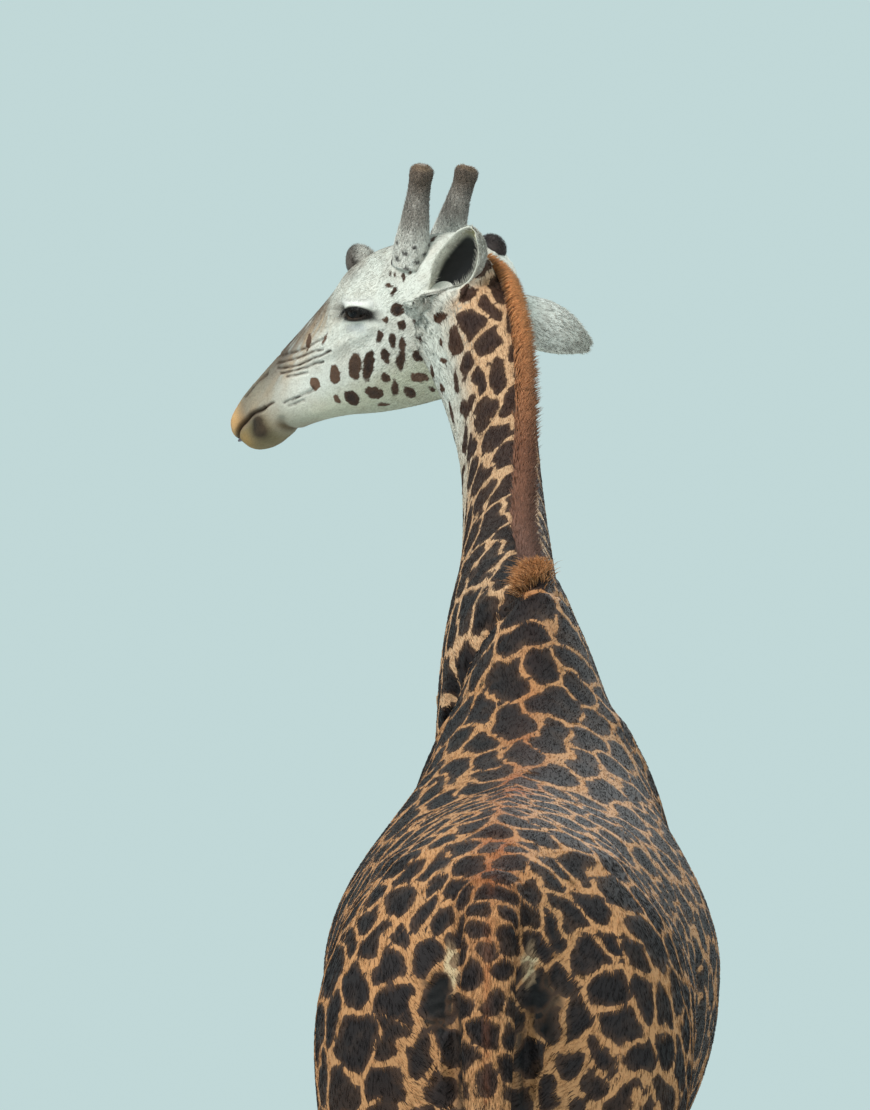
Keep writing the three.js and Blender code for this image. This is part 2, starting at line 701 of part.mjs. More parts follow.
// The head: the lower jaw below the mouth line, the muzzle, and the rest.
const headSpace = ( from, top ) => ( grow ) => block(
	[ from, - HEAD_SPACE.side, HEAD_SPACE.below ], [ HEAD_SPACE.ahead, HEAD_SPACE.side, top ], HEAD_FRAME, grow );
const jaw = headSpace( JAW_FROM, MOUTH_AT );
keep( 'lower_jaw', flesh.intersect( jaw( 0 ) ), COLOURS.pale );
flesh = flesh.subtract( jaw( GAP ) );
const muzzle = headSpace( MUZZLE_FROM, HEAD_SPACE.above );
keep( 'muzzle', flesh.intersect( muzzle( 0 ) ), COLOURS.muzzle );
keep( 'head', flesh.subtract( muzzle( GAP ) ), COLOURS.pale );

const giraffe = new THREE.Group();
for ( const [ name, [ shape, colour ] ] of pieces ) {

	const { vertProperties, triVerts } = shape.getMesh();
	const geometry = new THREE.BufferGeometry();
	geometry.setAttribute( 'position', new THREE.BufferAttribute( vertProperties, 3 ) );
	geometry.setIndex( new THREE.BufferAttribute( triVerts, 1 ) );
	geometry.computeVertexNormals();
	const finish = new THREE.MeshStandardMaterial( { color: colour, roughness: 0.85, metalness: 0 } );
	const mesh = new THREE.Mesh( geometry, finish );
	mesh.name = name;
	giraffe.add( mesh );

}

giraffe.position.copy( GROUND_CENTRE ).negate();

export default giraffe;
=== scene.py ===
"""A life-size giraffe bull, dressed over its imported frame.

The body is a set of tubes: the trunk, the neck, the head, four legs and the tail. Each tube is a profile
carried along a path. Their union becomes one skin, which is smoothed where they join, made finer on the
head and carved with lids, nostrils, lips and folds. Short fur, the mane, the tail's tuft and the lashes
are joined meshes of thin locks, rooted on that skin and coloured by the same markings.

Lengths are metres. Shapes are worked out in the body's own coordinates, with the spine on x = 0, +Y ahead,
+X to the animal's right and the floor at z = 0, and are moved to the frame's coordinates at the end.
"""
import logging
import math
from dataclasses import dataclass, field
from enum import Enum
from typing import Callable, ClassVar, Optional, Sequence

import bmesh
import bpy
import numpy as np
from mathutils import Matrix


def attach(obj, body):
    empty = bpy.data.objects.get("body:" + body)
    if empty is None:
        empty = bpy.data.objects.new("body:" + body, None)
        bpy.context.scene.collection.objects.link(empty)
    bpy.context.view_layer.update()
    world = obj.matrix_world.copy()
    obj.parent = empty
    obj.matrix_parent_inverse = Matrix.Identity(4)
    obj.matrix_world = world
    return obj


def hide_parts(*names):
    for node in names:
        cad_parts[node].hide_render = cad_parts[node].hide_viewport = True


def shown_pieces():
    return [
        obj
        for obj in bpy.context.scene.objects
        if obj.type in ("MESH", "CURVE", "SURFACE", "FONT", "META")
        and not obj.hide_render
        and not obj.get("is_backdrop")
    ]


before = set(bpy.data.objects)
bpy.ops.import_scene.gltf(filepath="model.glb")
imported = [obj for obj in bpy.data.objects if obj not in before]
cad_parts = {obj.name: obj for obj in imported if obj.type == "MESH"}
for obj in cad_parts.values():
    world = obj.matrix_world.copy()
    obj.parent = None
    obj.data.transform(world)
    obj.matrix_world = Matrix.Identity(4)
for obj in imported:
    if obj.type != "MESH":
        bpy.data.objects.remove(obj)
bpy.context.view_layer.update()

LOG = logging.getLogger("giraffe")
Array = np.ndarray

ORIGIN_SHIFT = np.array([-0.2, 1.528, 0.0])  # the frame's origin in the body's coordinates
BODY = "root"
COAT_DEPTH = 0.004  # how far the skin lies inside the coat's outline


# Numbers -----------------------------------------------------

def unit(v: Array) -> Array:
    """Scales vectors, along the last axis, to length one."""
    return v / np.maximum(np.linalg.norm(v, axis=-1, keepdims=True), 1e-12)


def ramp(x: Array, low: float, high: float) -> Array:
    """A smooth step from 0 at `low` to 1 at `high`: 3t^2 - 2t^3 of the clamped share t."""
    t = np.clip((x - low) / (high - low), 0.0, 1.0)
    return t * t * (3.0 - 2.0 * t)


def bell(distance: Array, width: float) -> Array:
    """A Gaussian bell of a distance: exp(-(d / width)^2)."""
    return np.exp(-(distance / width) ** 2)


def spline(table: Array, t: Array) -> Array:
    """Catmull-Rom through every row of a table.

    Args:
        table: Rows of numbers, one row for each station.
        t: Shares from 0, the first row, to 1, the last.

    Returns:
        One interpolated row for each share.
    """
    padded = np.vstack([2 * table[0] - table[1], table, 2 * table[-1] - table[-2]])
    last = len(table) - 1
    place = np.clip(t, 0.0, 1.0) * last
    i = np.minimum(place.astype(int), last - 1)
    f = (place - i)[..., None]
    a, b, c, d = (padded[i + k] for k in range(4))
    return b + 0.5 * f * (c - a + f * (2 * a - 5 * b + 4 * c - d + f * (3 * (b - c) + d - a)))


def turned(axis: Array, angle: Array, v: Array) -> Array:
    """Turns vectors about unit axes by Rodrigues' formula."""
    c, s = np.cos(angle)[..., None], np.sin(angle)[..., None]
    return v * c + np.cross(axis, v) * s + axis * np.sum(axis * v, -1, keepdims=True) * (1 - c)


# Tubes -------------------------------------------------------

@dataclass
class Sections:
    """Cross-sections of a tube: centres, the way along, the two axes, and the reach along each."""

    centre: Array
    ahead: Array
    side: Array
    up: Array
    half: Array
    rise: Array
    fall: Array
    above: Array
    below: Array

    def reach(self, angle: Array) -> Array:
        """The superellipse's polar radius r = (|cos|^p + |sin|^p)^(-1/p), with its own p above and below."""
        c, s = np.abs(np.cos(angle)), np.abs(np.sin(angle))
        power = np.where(np.sin(angle) >= 0, self.above[:, None], self.below[:, None])
        return (c ** power + s ** power) ** (-1.0 / power)

    def outline(self, angle: Array) -> Array:
        """Points of every section at the given angles, measured from `side` towards `up`."""
        r = self.reach(angle)
        c, s = np.cos(angle), np.sin(angle)
        tall = np.where(s >= 0, self.rise[:, None], self.fall[:, None])
        across = (self.half[:, None] * r * c)[..., None] * self.side[:, None]
        return self.centre[:, None] + across + (tall * r * s)[..., None] * self.up[:, None]


@dataclass
class Fit:
    """Where points lie in a tube: share of its length, angle round it, and distance out of its surface."""

    share: Array
    angle: Array
    outside: Array


@dataclass
class Tube:
    """A profile carried along a path, from a table of stations."""

    name: str
    table: Array
    stations: int = 60
    sides: int = 48
    samples: ClassVar[int] = 160  # of the path, to find the nearest
    part: ClassVar[int] = 20000  # points taken at a time
    reach: ClassVar[float] = 0.13  # how far off a tube its distance still matters

    def sections(self, t: Array) -> Sections:
        """The cross-sections at shares of the length."""
        raise NotImplementedError

    def place(self, p: Array) -> Array:
        """The share of the length at which each point lies, by projecting it on the sampled path.

        Args:
            p: Points in the body's coordinates.

        Returns:
            A share from 0 to 1 for each.
        """
        t = np.linspace(0, 1, self.samples)
        s = self.sections(t)
        out = np.empty(len(p))
        square = (s.centre ** 2).sum(1)
        step = np.linalg.norm(np.gradient(s.centre, axis=0), axis=1) * (self.samples - 1)
        for k in range(0, len(p), self.part):
            q = p[k:k + self.part]
            near = np.argmin(square[None] - 2 * q @ s.centre.T, 1)
            past = np.sum((q - s.centre[near]) * s.ahead[near], 1)
            out[k:k + self.part] = t[near] + past / step[near]
        return np.clip(out, 0, 1)

    def limits(self) -> tuple[Array, Array]:
        """The corners of a box round the tube, with room for what is near enough to matter."""
        s = self.sections(np.linspace(0, 1, 60))
        points = s.outline(np.arange(8) * np.pi / 4).reshape(-1, 3)
        return points.min(0) - self.reach, points.max(0) + self.reach

    def fit(self, p: Array) -> Fit:
        """Measures points against the tube; one that is well away from it gets a distance of 9 m.

        Args:
            p: Points in the body's coordinates.

        Returns:
            Their share, angle and distance.
        """
        low, high = self.limits()
        on = np.all((p > low) & (p < high), 1)
        out = Fit(np.zeros(len(p)), np.zeros(len(p)), np.full(len(p), 9.0))
        if on.any():
            out.share[on], out.angle[on], out.outside[on] = self.measure(p[on])
        return out

    def measure(self, p: Array) -> tuple[Array, Array, Array]:
        """The share, angle and distance of points near the tube.

        The distance is (rho - 1) / rho times the distance from the path, where rho is the superellipse's
        own norm of the point.

        Args:
            p: Points in the body's coordinates.

        Returns:
            Their shares, angles and distances, the last below 0 inside.
        """
        share = self.place(p)
        s = self.sections(share)
        d = p - s.centre
        a, b = np.sum(d * s.side, 1), np.sum(d * s.up, 1)
        power = np.where(b >= 0, s.above, s.below)
        tall = np.where(b >= 0, s.rise, s.fall)
        rho = (np.abs(a / s.half) ** power + np.abs(b / tall) ** power) ** (1 / power)
        outside = np.hypot(a, b) * (1 - 1 / np.maximum(rho, 1e-3))
        beyond = np.abs(np.sum(d * s.ahead, 1))
        outside = np.where(beyond > 1e-3, np.hypot(np.maximum(outside, 0), beyond), outside)
        return share, np.arctan2(b / tall, a / s.half), outside

    def shell(self, inset: float) -> tuple[Array, Array]:
        """The tube's closed surface as points and triangles, drawn in by the coat's depth."""
        s = self.sections(np.linspace(0, 1, self.stations))
        s.half, s.rise, s.fall = (np.maximum(v - inset, 0.003) for v in (s.half, s.rise, s.fall))
        return closed_grid(s.outline(np.arange(self.sides) / self.sides * 2 * np.pi))


def closed_grid(rings: Array) -> tuple[Array, Array]:
    """Skins rings into a closed surface, with a pole in the middle of the first and the last ring.

    Args:
        rings: Points as (rings, points in a ring, 3).

    Returns:
        Points, and triangles that face outwards where the rings run anticlockwise as seen from the end.
    """
    n, m, _ = rings.shape
    points = np.vstack([rings.reshape(-1, 3), rings[0].mean(0), rings[-1].mean(0)])
    i, j = np.meshgrid(np.arange(n - 1), np.arange(m), indexing="ij")
    a, b = i * m + j, i * m + (j + 1) % m
    c, d = b + m, a + m
    walls = np.stack([np.stack([a, b, c], -1), np.stack([a, c, d], -1)], 2).reshape(-1, 3)
    k = np.arange(m)
    first = np.stack([(k + 1) % m, k, np.full(m, n * m)], 1)
    base = (n - 1) * m
    end = np.stack([base + k, base + (k + 1) % m, np.full(m, n * m + 1)], 1)
    faces = np.vstack([walls, first, end])
    corner = points[faces]
    if np.sum(corner[:, 0] * np.cross(corner[:, 1], corner[:, 2])) < 0:
        faces = faces[:, ::-1]
    return points, faces


def ball_grid(rows: int, columns: int, margin: float = 0.0) -> tuple[Array, Array]:
    """Angles for the rings of a ball: down from the pole, as a column, and round, as a row.

    Args:
        rows: How many rings there are.
        columns: How many points each has.
        margin: The angle of the first ring, or 0 for even steps whose poles are left out.

    Returns:
        The two angles.
    """
    even = np.linspace(0, np.pi, rows + 2)[1:-1]
    tilt = np.linspace(margin, np.pi - margin, rows) if margin else even
    return tilt[:, None], np.arange(columns)[None] / columns * 2 * np.pi


def ball(tilt: Array, turn: Array, axes: Array = np.eye(3)) -> Array:
    """A unit ball: a sin(tilt) cos(turn) + b sin(tilt) sin(turn) + c cos(tilt), for axes a, b and c."""
    shares = np.sin(tilt) * np.cos(turn), np.sin(tilt) * np.sin(turn), np.cos(tilt) + 0 * turn
    return sum(share[..., None] * axis for share, axis in zip(shares, axes))


def constant(v: Sequence[float], n: int) -> Array:
    """One vector repeated n times."""
    return np.tile(np.asarray(v, float), (n, 1))


@dataclass
class Trunk(Tube):
    """The trunk: upright sections across the spine.

    Table columns: y, top, widest, bottom, half-width, roundness above and below.
    """

    name: str = "trunk"
    stations: int = 90
    sides: int = 72
    table: Array = field(default_factory=lambda: np.array([
        [-0.06, 2.12, 2.06, 2.0, 0.03, 2.0, 2.0],
        [-0.035, 2.2, 2.05, 1.88, 0.09, 2.0, 2.0],
        [0.02, 2.285, 2.04, 1.79, 0.17, 2.0, 2.0],
        [0.1, 2.355, 2.03, 1.74, 0.24, 2.0, 2.1],
        [0.22, 2.42, 2.04, 1.725, 0.295, 1.9, 2.2],
        [0.38, 2.462, 2.08, 1.725, 0.325, 1.85, 2.2],
        [0.74, 2.52, 2.16, 1.715, 0.362, 1.85, 2.1],
        [0.9, 2.565, 2.18, 1.705, 0.372, 1.8, 2.1],
        [1.04, 2.63, 2.18, 1.7, 0.368, 1.7, 2.1],
        [1.18, 2.725, 2.17, 1.705, 0.352, 1.55, 2.0],
        [1.31, 2.85, 2.16, 1.725, 0.33, 1.4, 2.0],
        [1.43, 2.955, 2.15, 1.755, 0.305, 1.25, 2.0],
        [1.55, 2.955, 2.15, 1.8, 0.285, 1.2, 2.0],
        [1.68, 2.88, 2.17, 1.86, 0.25, 1.3, 2.0],
        [1.8, 2.74, 2.21, 1.95, 0.2, 1.5, 2.0],
        [1.89, 2.56, 2.27, 2.07, 0.13, 1.8, 2.0],
        [1.93, 2.42, 2.31, 2.2, 0.05, 2.0, 2.0]]))

    def sections(self, t: Array) -> Sections:
        """Upright sections at shares of the table."""
        y, top, wide, low, half, above, below = spline(self.table, t).T
        n = len(t)
        centre = np.stack([np.zeros(n), y, wide], 1)
        return Sections(centre, constant((0, 1, 0), n), constant((-1, 0, 0), n), constant((0, 0, 1), n),
                        half, top - wide, wide - low, above, below)

    def place(self, p: Array) -> Array:
        """A section stands upright, so a point's y alone gives its share."""
        t = np.linspace(0, 1, 400)
        return np.interp(p[:, 1], spline(self.table, t)[:, 0], t)


@dataclass
class Neck(Tube):
    """The neck: sections square to the ridge that carries the mane.

    Table columns: ridge x, y, z, depth above the widest point, depth below, half-width, twist in degrees.
    """

    name: str = "neck"
    stations: int = 80
    sides: int = 56
    powers: ClassVar[tuple] = (1.8, 2.0)  # roundness above and below
    table: Array = field(default_factory=lambda: np.array([
        [-0.01, 1.3, 2.78, 0.24, 0.38, 0.12, 6],
        [-0.01, 1.45, 2.93, 0.24, 0.46, 0.13, 8],
        [-0.03, 1.62, 3.01, 0.21, 0.42, 0.124, 10],
        [-0.05, 1.8, 3.08, 0.18, 0.33, 0.11, 12],
        [-0.06, 2.0, 3.17, 0.155, 0.245, 0.091, 14],
        [-0.07, 2.2, 3.272, 0.14, 0.19, 0.077, 17],
        [-0.08, 2.38, 3.376, 0.125, 0.15, 0.07, 22],
        [-0.093, 2.54, 3.488, 0.115, 0.14, 0.068, 28],
        [-0.115, 2.67, 3.598, 0.105, 0.14, 0.071, 36],
        [-0.145, 2.75, 3.69, 0.1, 0.14, 0.074, 46],
        [-0.19, 2.8, 3.745, 0.09, 0.13, 0.068, 56]]))

    def sections(self, t: Array) -> Sections:
        """Sections square to the ridge: its tangent, the level side, and both turned by the twist.

        Args:
            t: Shares of the table.

        Returns:
            The cross-sections there.
        """
        row = spline(self.table, t)
        later = spline(self.table, np.minimum(t + 0.01, 1))[:, :3]
        sooner = spline(self.table, np.maximum(t - 0.01, 0))[:, :3]
        ahead = unit(later - sooner)
        side = unit(np.cross(ahead, constant((0, 0, 1), len(t))))
        twist = np.radians(row[:, 6])
        up = turned(ahead, twist, np.cross(side, ahead))
        side = turned(ahead, twist, side)
        rise, fall, half = row[:, 3], row[:, 4], row[:, 5]
        powers = (np.full(len(t), power) for power in self.powers)
        return Sections(row[:, :3] - up * rise[:, None], ahead, -side, up, half, rise, fall, *powers)

    def ridge(self, t: Array) -> tuple[Array, Sections]:
        """The top of the neck at shares of its length, with its sections."""
        s = self.sections(t)
        return s.centre + s.up * s.rise[:, None], s


@dataclass
class HeadFrame:
    """The head's own axes: forward, left and up, after its turn, nod and roll."""

    at: Array = field(default_factory=lambda: np.array([-0.175, 2.82, 3.765]))
    turn: float = 58.0  # degrees to the left of straight ahead
    nod: float = 29.0  # degrees nose down
    roll: float = 10.0  # degrees, right side raised

    def axes(self) -> Array:
        """Forward, left and up as the rows of a matrix."""
        turn, nod, roll = (math.radians(v) for v in (90 + self.turn, self.nod, self.roll))
        forward = np.array([math.cos(turn) * math.cos(nod), math.sin(turn) * math.cos(nod), -math.sin(nod)])
        left = turned(forward, np.array(-roll), np.array([-math.sin(turn), math.cos(turn), 0.0]))
        return np.stack([forward, left, np.cross(forward, left)])

    def out(self, p: Array) -> Array:
        """Head coordinates to the body's."""
        return self.at + p @ self.axes()

    def turn_out(self, v: Array) -> Array:
        """Directions in the head's frame to the body's."""
        return v @ self.axes()

    def into(self, p: Array) -> Array:
        """The body's coordinates to the head's."""
        return (p - self.at) @ self.axes().T


HEAD_FRAME = HeadFrame()


@dataclass
class Head(Tube):
    """The head: sections square to its length, in its own frame.

    Table columns: x, top, widest, bottom, half-width, roundness above and below.
    """

    name: str = "head"
    stations: int = 90
    sides: int = 64
    table: Array = field(default_factory=lambda: np.array([
        [-0.012, 0.0, -0.045, -0.09, 0.028, 2.0, 2.0],
        [0.005, 0.03, -0.045, -0.13, 0.048, 2.0, 2.0],
        [0.04, 0.068, -0.045, -0.17, 0.066, 2.1, 2.0],
        [0.1, 0.103, -0.04, -0.205, 0.08, 2.2, 1.9],
        [0.17, 0.128, -0.02, -0.222, 0.09, 2.3, 1.8],
        [0.24, 0.15, 0.0, -0.22, 0.098, 2.3, 1.7],
        [0.31, 0.153, 0.025, -0.2, 0.102, 2.3, 1.6],
        [0.37, 0.137, 0.025, -0.178, 0.096, 2.2, 1.7],
        [0.44, 0.124, 0.02, -0.147, 0.082, 2.1, 1.8],
        [0.51, 0.111, 0.01, -0.11, 0.07, 2.1, 2.0],
        [0.58, 0.099, 0.005, -0.082, 0.065, 2.2, 2.1],
        [0.64, 0.088, 0.005, -0.066, 0.064, 2.2, 2.2],
        [0.7, 0.074, 0.005, -0.06, 0.062, 2.2, 2.2],
        [0.745, 0.058, 0.01, -0.045, 0.05, 2.1, 2.2],
        [0.775, 0.035, 0.015, -0.01, 0.022, 2.0, 2.0]]))

    def sections(self, t: Array) -> Sections:
        """Sections square to the head's length at shares of the table."""
        x, top, wide, low, half, above, below = spline(self.table, t).T
        forward, left, up = (constant(v, len(t)) for v in HEAD_FRAME.axes())
        centre = HEAD_FRAME.out(np.stack([x, np.zeros(len(t)), wide], 1))
        return Sections(centre, forward, left, up, half, top - wide, wide - low, above, below)

    def place(self, p: Array) -> Array:
        """A section is square to the head's length, so the head's own x gives its share."""
        t = np.linspace(0, 1, 400)
        return np.interp(HEAD_FRAME.into(p)[:, 0], spline(self.table, t)[:, 0], t)


@dataclass
class Leg(Tube):
    """A leg on one side: level sections from the top down.

    Table columns: x, y, z, half-width, reach forward, reach back.
    """

    sign: int = 1
    stations: int = 110
    sides: int = 40
    power: ClassVar[float] = 2.2

    def sections(self, t: Array) -> Sections:
        """Level sections at shares of the table."""
        x, y, z, half, front, back = spline(self.table, t).T
        n = len(t)
        centre = np.stack([self.sign * x, y, z], 1)
        power = np.full(n, self.power)
        return Sections(centre, constant((0, 0, -1), n), constant((-1, 0, 0), n), constant((0, 1, 0), n),
                        half, front, back, power, power)

    def place(self, p: Array) -> Array:
        """Sections are level, so a point's z alone gives its share."""
        t = np.linspace(0, 1, 400)
        return np.interp(-p[:, 2], -spline(self.table, t)[:, 2], t)


HIND = np.array([
    [0.13, 0.34, 2.34, 0.06, 0.14, 0.12],
    [0.16, 0.33, 2.24, 0.115, 0.25, 0.21],
    [0.18, 0.31, 2.1, 0.14, 0.31, 0.25],
    [0.19, 0.29, 1.95, 0.138, 0.31, 0.24],
    [0.19, 0.29, 1.79, 0.126, 0.275, 0.22],
    [0.186, 0.295, 1.62, 0.105, 0.205, 0.19],
    [0.176, 0.24, 1.46, 0.083, 0.145, 0.145],
    [0.166, 0.165, 1.29, 0.064, 0.1, 0.105],
    [0.158, 0.1, 1.13, 0.051, 0.072, 0.08],
    [0.152, 0.07, 1.02, 0.05, 0.066, 0.085],
    [0.15, 0.066, 0.93, 0.05, 0.062, 0.072],
    [0.15, 0.08, 0.83, 0.041, 0.048, 0.054],
    [0.15, 0.1, 0.6, 0.035, 0.038, 0.046],
    [0.15, 0.12, 0.37, 0.037, 0.042, 0.05],
    [0.15, 0.13, 0.28, 0.052, 0.06, 0.066],
    [0.15, 0.15, 0.19, 0.048, 0.054, 0.054],
    [0.15, 0.17, 0.112, 0.064, 0.078, 0.07]])
FORE = np.array([
    [0.11, 1.36, 2.64, 0.04, 0.07, 0.07],
    [0.145, 1.42, 2.5, 0.08, 0.13, 0.12],
    [0.175, 1.48, 2.3, 0.1, 0.175, 0.16],
    [0.19, 1.5, 2.11, 0.105, 0.19, 0.175],
    [0.19, 1.47, 1.94, 0.092, 0.155, 0.16],
    [0.18, 1.43, 1.79, 0.072, 0.108, 0.125],
    [0.17, 1.425, 1.63, 0.06, 0.085, 0.09],
    [0.16, 1.43, 1.42, 0.051, 0.066, 0.068],
    [0.152, 1.432, 1.21, 0.045, 0.055, 0.056],
    [0.15, 1.432, 1.09, 0.052, 0.063, 0.058],
    [0.15, 1.435, 1.0, 0.056, 0.069, 0.058],
    [0.15, 1.43, 0.91, 0.046, 0.052, 0.052],
    [0.15, 1.422, 0.66, 0.036, 0.037, 0.045],
    [0.15, 1.42, 0.39, 0.038, 0.041, 0.05],
    [0.15, 1.425, 0.285, 0.053, 0.06, 0.066],
    [0.15, 1.448, 0.195, 0.049, 0.055, 0.055],
    [0.15, 1.47, 0.112, 0.066, 0.08, 0.072]])


@dataclass
class Tail(Tube):
    """The tail, which tapers to its end inside the long hair. Table columns: y, z, half-width, half-depth."""

    name: str = "tail"
    stations: int = 70
    sides: int = 28
    table: Array = field(default_factory=lambda: np.array([
        [0.09, 2.3, 0.04, 0.034],
        [-0.01, 2.262, 0.05, 0.042],
        [-0.088, 2.19, 0.052, 0.04],
        [-0.118, 2.06, 0.05, 0.034],
        [-0.126, 1.9, 0.044, 0.028],
        [-0.128, 1.72, 0.034, 0.022],
        [-0.124, 1.54, 0.025, 0.018],
        [-0.118, 1.4, 0.022, 0.018],
        [-0.114, 1.33, 0.012, 0.01]]))

    def sections(self, t: Array) -> Sections:
        """Sections square to the tail's path.

        Args:
            t: Shares of the table.

        Returns:
            The cross-sections there.
        """
        y, z, half, depth = spline(self.table, t).T
        later, sooner = (spline(self.table, np.clip(t + e, 0, 1))[:, :2] for e in (0.01, -0.01))
        step = later - sooner
        zero = np.zeros(len(t))
        ahead = unit(np.stack([zero, step[:, 0], step[:, 1]], 1))
        side = constant((1, 0, 0), len(t))
        two = np.full(len(t), 2.0)
        centre, up = np.stack([zero, y, z], 1), np.cross(ahead, side)
        return Sections(centre, ahead, side, up, half, depth, depth, two, two)


# The body as one field ---------------------------------------

@dataclass(frozen=True)
class Lump:
    """An ellipsoid, in the body's coordinates or in the head's."""

    at: tuple
    radii: tuple
    on_head: bool = False

    def outside(self, p: Array) -> Array:
        """Distance out of the surface: |d| (1 - 1 / rho), where rho is the length of d over the radii."""
        d = (HEAD_FRAME.into(p) if self.on_head else p) - np.array(self.at)
        rho = np.linalg.norm(d / np.array(self.radii), axis=1)
        return np.linalg.norm(d, axis=1) * (1 - 1 / np.maximum(rho, 1e-3))

    def shell(self, inset: float) -> tuple[Array, Array]:
        """The ellipsoid's closed surface as points and triangles."""
        points, faces = closed_grid(ball(*ball_grid(17, 28, 0.08)) * (np.array(self.radii) - inset))
        points = points + np.array(self.at)
        return (HEAD_FRAME.out(points) if self.on_head else points), faces


EYE_AT = np.array([0.315, 0.08, 0.04])
EYE_RADIUS = 0.029
BROWS = [Lump((0.318, side * 0.072, 0.052), (0.062, 0.036, 0.044), True) for side in (1, -1)]
LOWER_LIP = Lump((0.702, 0.0, -0.018), (0.066, 0.05, 0.042), True)
SCROTUM = Lump((0.0, 0.5, 1.7), (0.05, 0.066, 0.09))
SHEATH = Lump((0.0, 0.85, 1.712), (0.044, 0.16, 0.044))


def blended(a: Array, b: Array, width: float) -> Array:
    """A smooth least of two distances: the lesser, less h^2 / 4 of the width; h is how close they are."""
    h = np.clip(1 - np.abs(a - b) / width, 0, None)
    return np.minimum(a, b) - h * h * width / 4


@dataclass
class Region:
    """What is known of points on the body: their fit in each tube and each tube's share of them."""

    p: Array
    fits: dict
    weight: dict

    def legs(self) -> Array:
        """The share of all four legs."""
        return sum(w for name, w in self.weight.items() if name.startswith("leg"))


class Body:
    """The tubes and lumps, and the field whose zero is the skin."""

    BLEND = {"neck": 0.11, "head": 0.045, "tail": 0.03, "leg": 0.085}
    SHARING = 0.025
    STEP = 0.0015  # for slopes
    LIMIT = 0.008  # of one move onto the skin

    def __init__(self) -> None:
        """Makes every tube."""
        legs = [Leg(f"leg_{name}_{side}", table, sign=sign)
                for name, table in (("hind", HIND), ("fore", FORE))
                for side, sign in (("right", 1), ("left", -1))]
        self.tubes = {tube.name: tube for tube in (Trunk(), Neck(), Head(), Tail(), *legs)}

    def read(self, p: Array) -> Region:
        """Fits points to every tube, and shares them out by exp(-distance / SHARING).

        Args:
            p: Points in the body's coordinates.

        Returns:
            Their fits and weights.
        """
        fits = {name: tube.fit(p) for name, tube in self.tubes.items()}
        least = np.min([fit.outside for fit in fits.values()], 0)
        weight = {name: np.exp(-(fit.outside - least) / self.SHARING) for name, fit in fits.items()}
        total = sum(weight.values())
        return Region(p, fits, {name: w / total for name, w in weight.items()})

    def field(self, p: Array) -> Array:
        """Distance out of the blended body, drawn in by the coat's depth.

        Args:
            p: Points in the body's coordinates.

        Returns:
            Their distances, below 0 inside.
        """
        d = self.tubes["trunk"].fit(p).outside
        head = self.tubes["head"].fit(p).outside
        for brow in BROWS:
            head = blended(head, brow.outside(p), 0.022)
        head = blended(head, LOWER_LIP.outside(p), 0.014)
        for name, tube in self.tubes.items():
            if name not in ("trunk", "head"):
                fit = tube.fit(p)
                width = self.BLEND[name.split("_")[0]]
                if name == "tail":
                    width = width + 0.1 * (1 - ramp(fit.share, 0.05, 0.34))
                d = blended(d, fit.outside, width)
        d = blended(d, head, self.BLEND["head"])
        d = blended(d, SCROTUM.outside(p), 0.03)
        return blended(d, SHEATH.outside(p), 0.05) + COAT_DEPTH

    def gradient(self, p: Array) -> tuple[Array, Array]:
        """The field and its slope, by a small step along each axis."""
        here = self.field(p)
        slopes = [(self.field(p + self.STEP * axis) - here) / self.STEP for axis in np.eye(3)]
        return here, np.stack(slopes, 1)

    def settle(self, p: Array, rounds: int) -> Array:
        """Moves points onto the skin by Newton steps along the slope, none above LIMIT."""
        for _ in range(rounds):
            d, slope = self.gradient(p)
            move = np.clip(d / np.maximum((slope ** 2).sum(1), 0.2), -self.LIMIT, self.LIMIT)
            p = p - move[:, None] * slope
        return p

    def shells(self) -> tuple[Array, Array]:
        """Every tube and lump as one list of points and triangles."""
        made = [tube.shell(COAT_DEPTH) for tube in self.tubes.values()]
        made += [lump.shell(COAT_DEPTH) for lump in (*BROWS, LOWER_LIP, SCROTUM, SHEATH)]
        return joined(made)


def joined(pieces: Sequence[tuple[Array, Array]]) -> tuple[Array, Array]:
    """Puts lists of points and faces together into one."""
    start = np.cumsum([0] + [len(points) for points, _ in pieces])
    return np.vstack([p for p, _ in pieces]), np.vstack([f + n for (_, f), n in zip(pieces, start)])


# Relief ------------------------------------------------------

def both_sides(p: Array, across: int) -> Array:
    """Points folded onto the positive side of one axis."""
    folded = p.copy()
    folded[:, across] = np.abs(folded[:, across])
    return folded


@dataclass(frozen=True)
class Bump:
    """A rounded rise, or a hollow where the height is negative, on both sides of the body."""

    at: tuple
    radius: float
    height: float

    def rise(self, p: Array) -> Array:
        """Height times a bell of the distance from the centre."""
        return self.height * bell(np.linalg.norm(p - np.array(self.at), axis=1), self.radius)


@dataclass(frozen=True)
class Crease:
    """A groove, or a ridge where the height is positive, along straight lengths between points."""

    points: tuple
    width: float
    height: float
    flat: bool = False  # measured as seen from the side, so the second number is unused

    def distance(self, p: Array) -> Array:
        """The least distance to any of its straight lengths, which a flat crease lets wander by 2 mm.

        Args:
            p: Points in the crease's own frame.

        Returns:
            One distance for each.
        """
        corner = np.array(self.points, float)
        if self.flat:
            p, corner = (p + waver(p, 0.075, 31) * 0.0024) * [1, 0, 1], corner * [1, 0, 1]
        out = np.full(len(p), 9.0)
        for a, b in zip(corner[:-1], corner[1:]):
            along = b - a
            t = np.clip((p - a) @ along / (along @ along), 0, 1)
            out = np.minimum(out, np.linalg.norm(p - a - t[:, None] * along, axis=1))
        return out

    def rise(self, p: Array) -> Array:
        """Height times a bell of that distance."""
        return self.height * bell(self.distance(p), self.width)


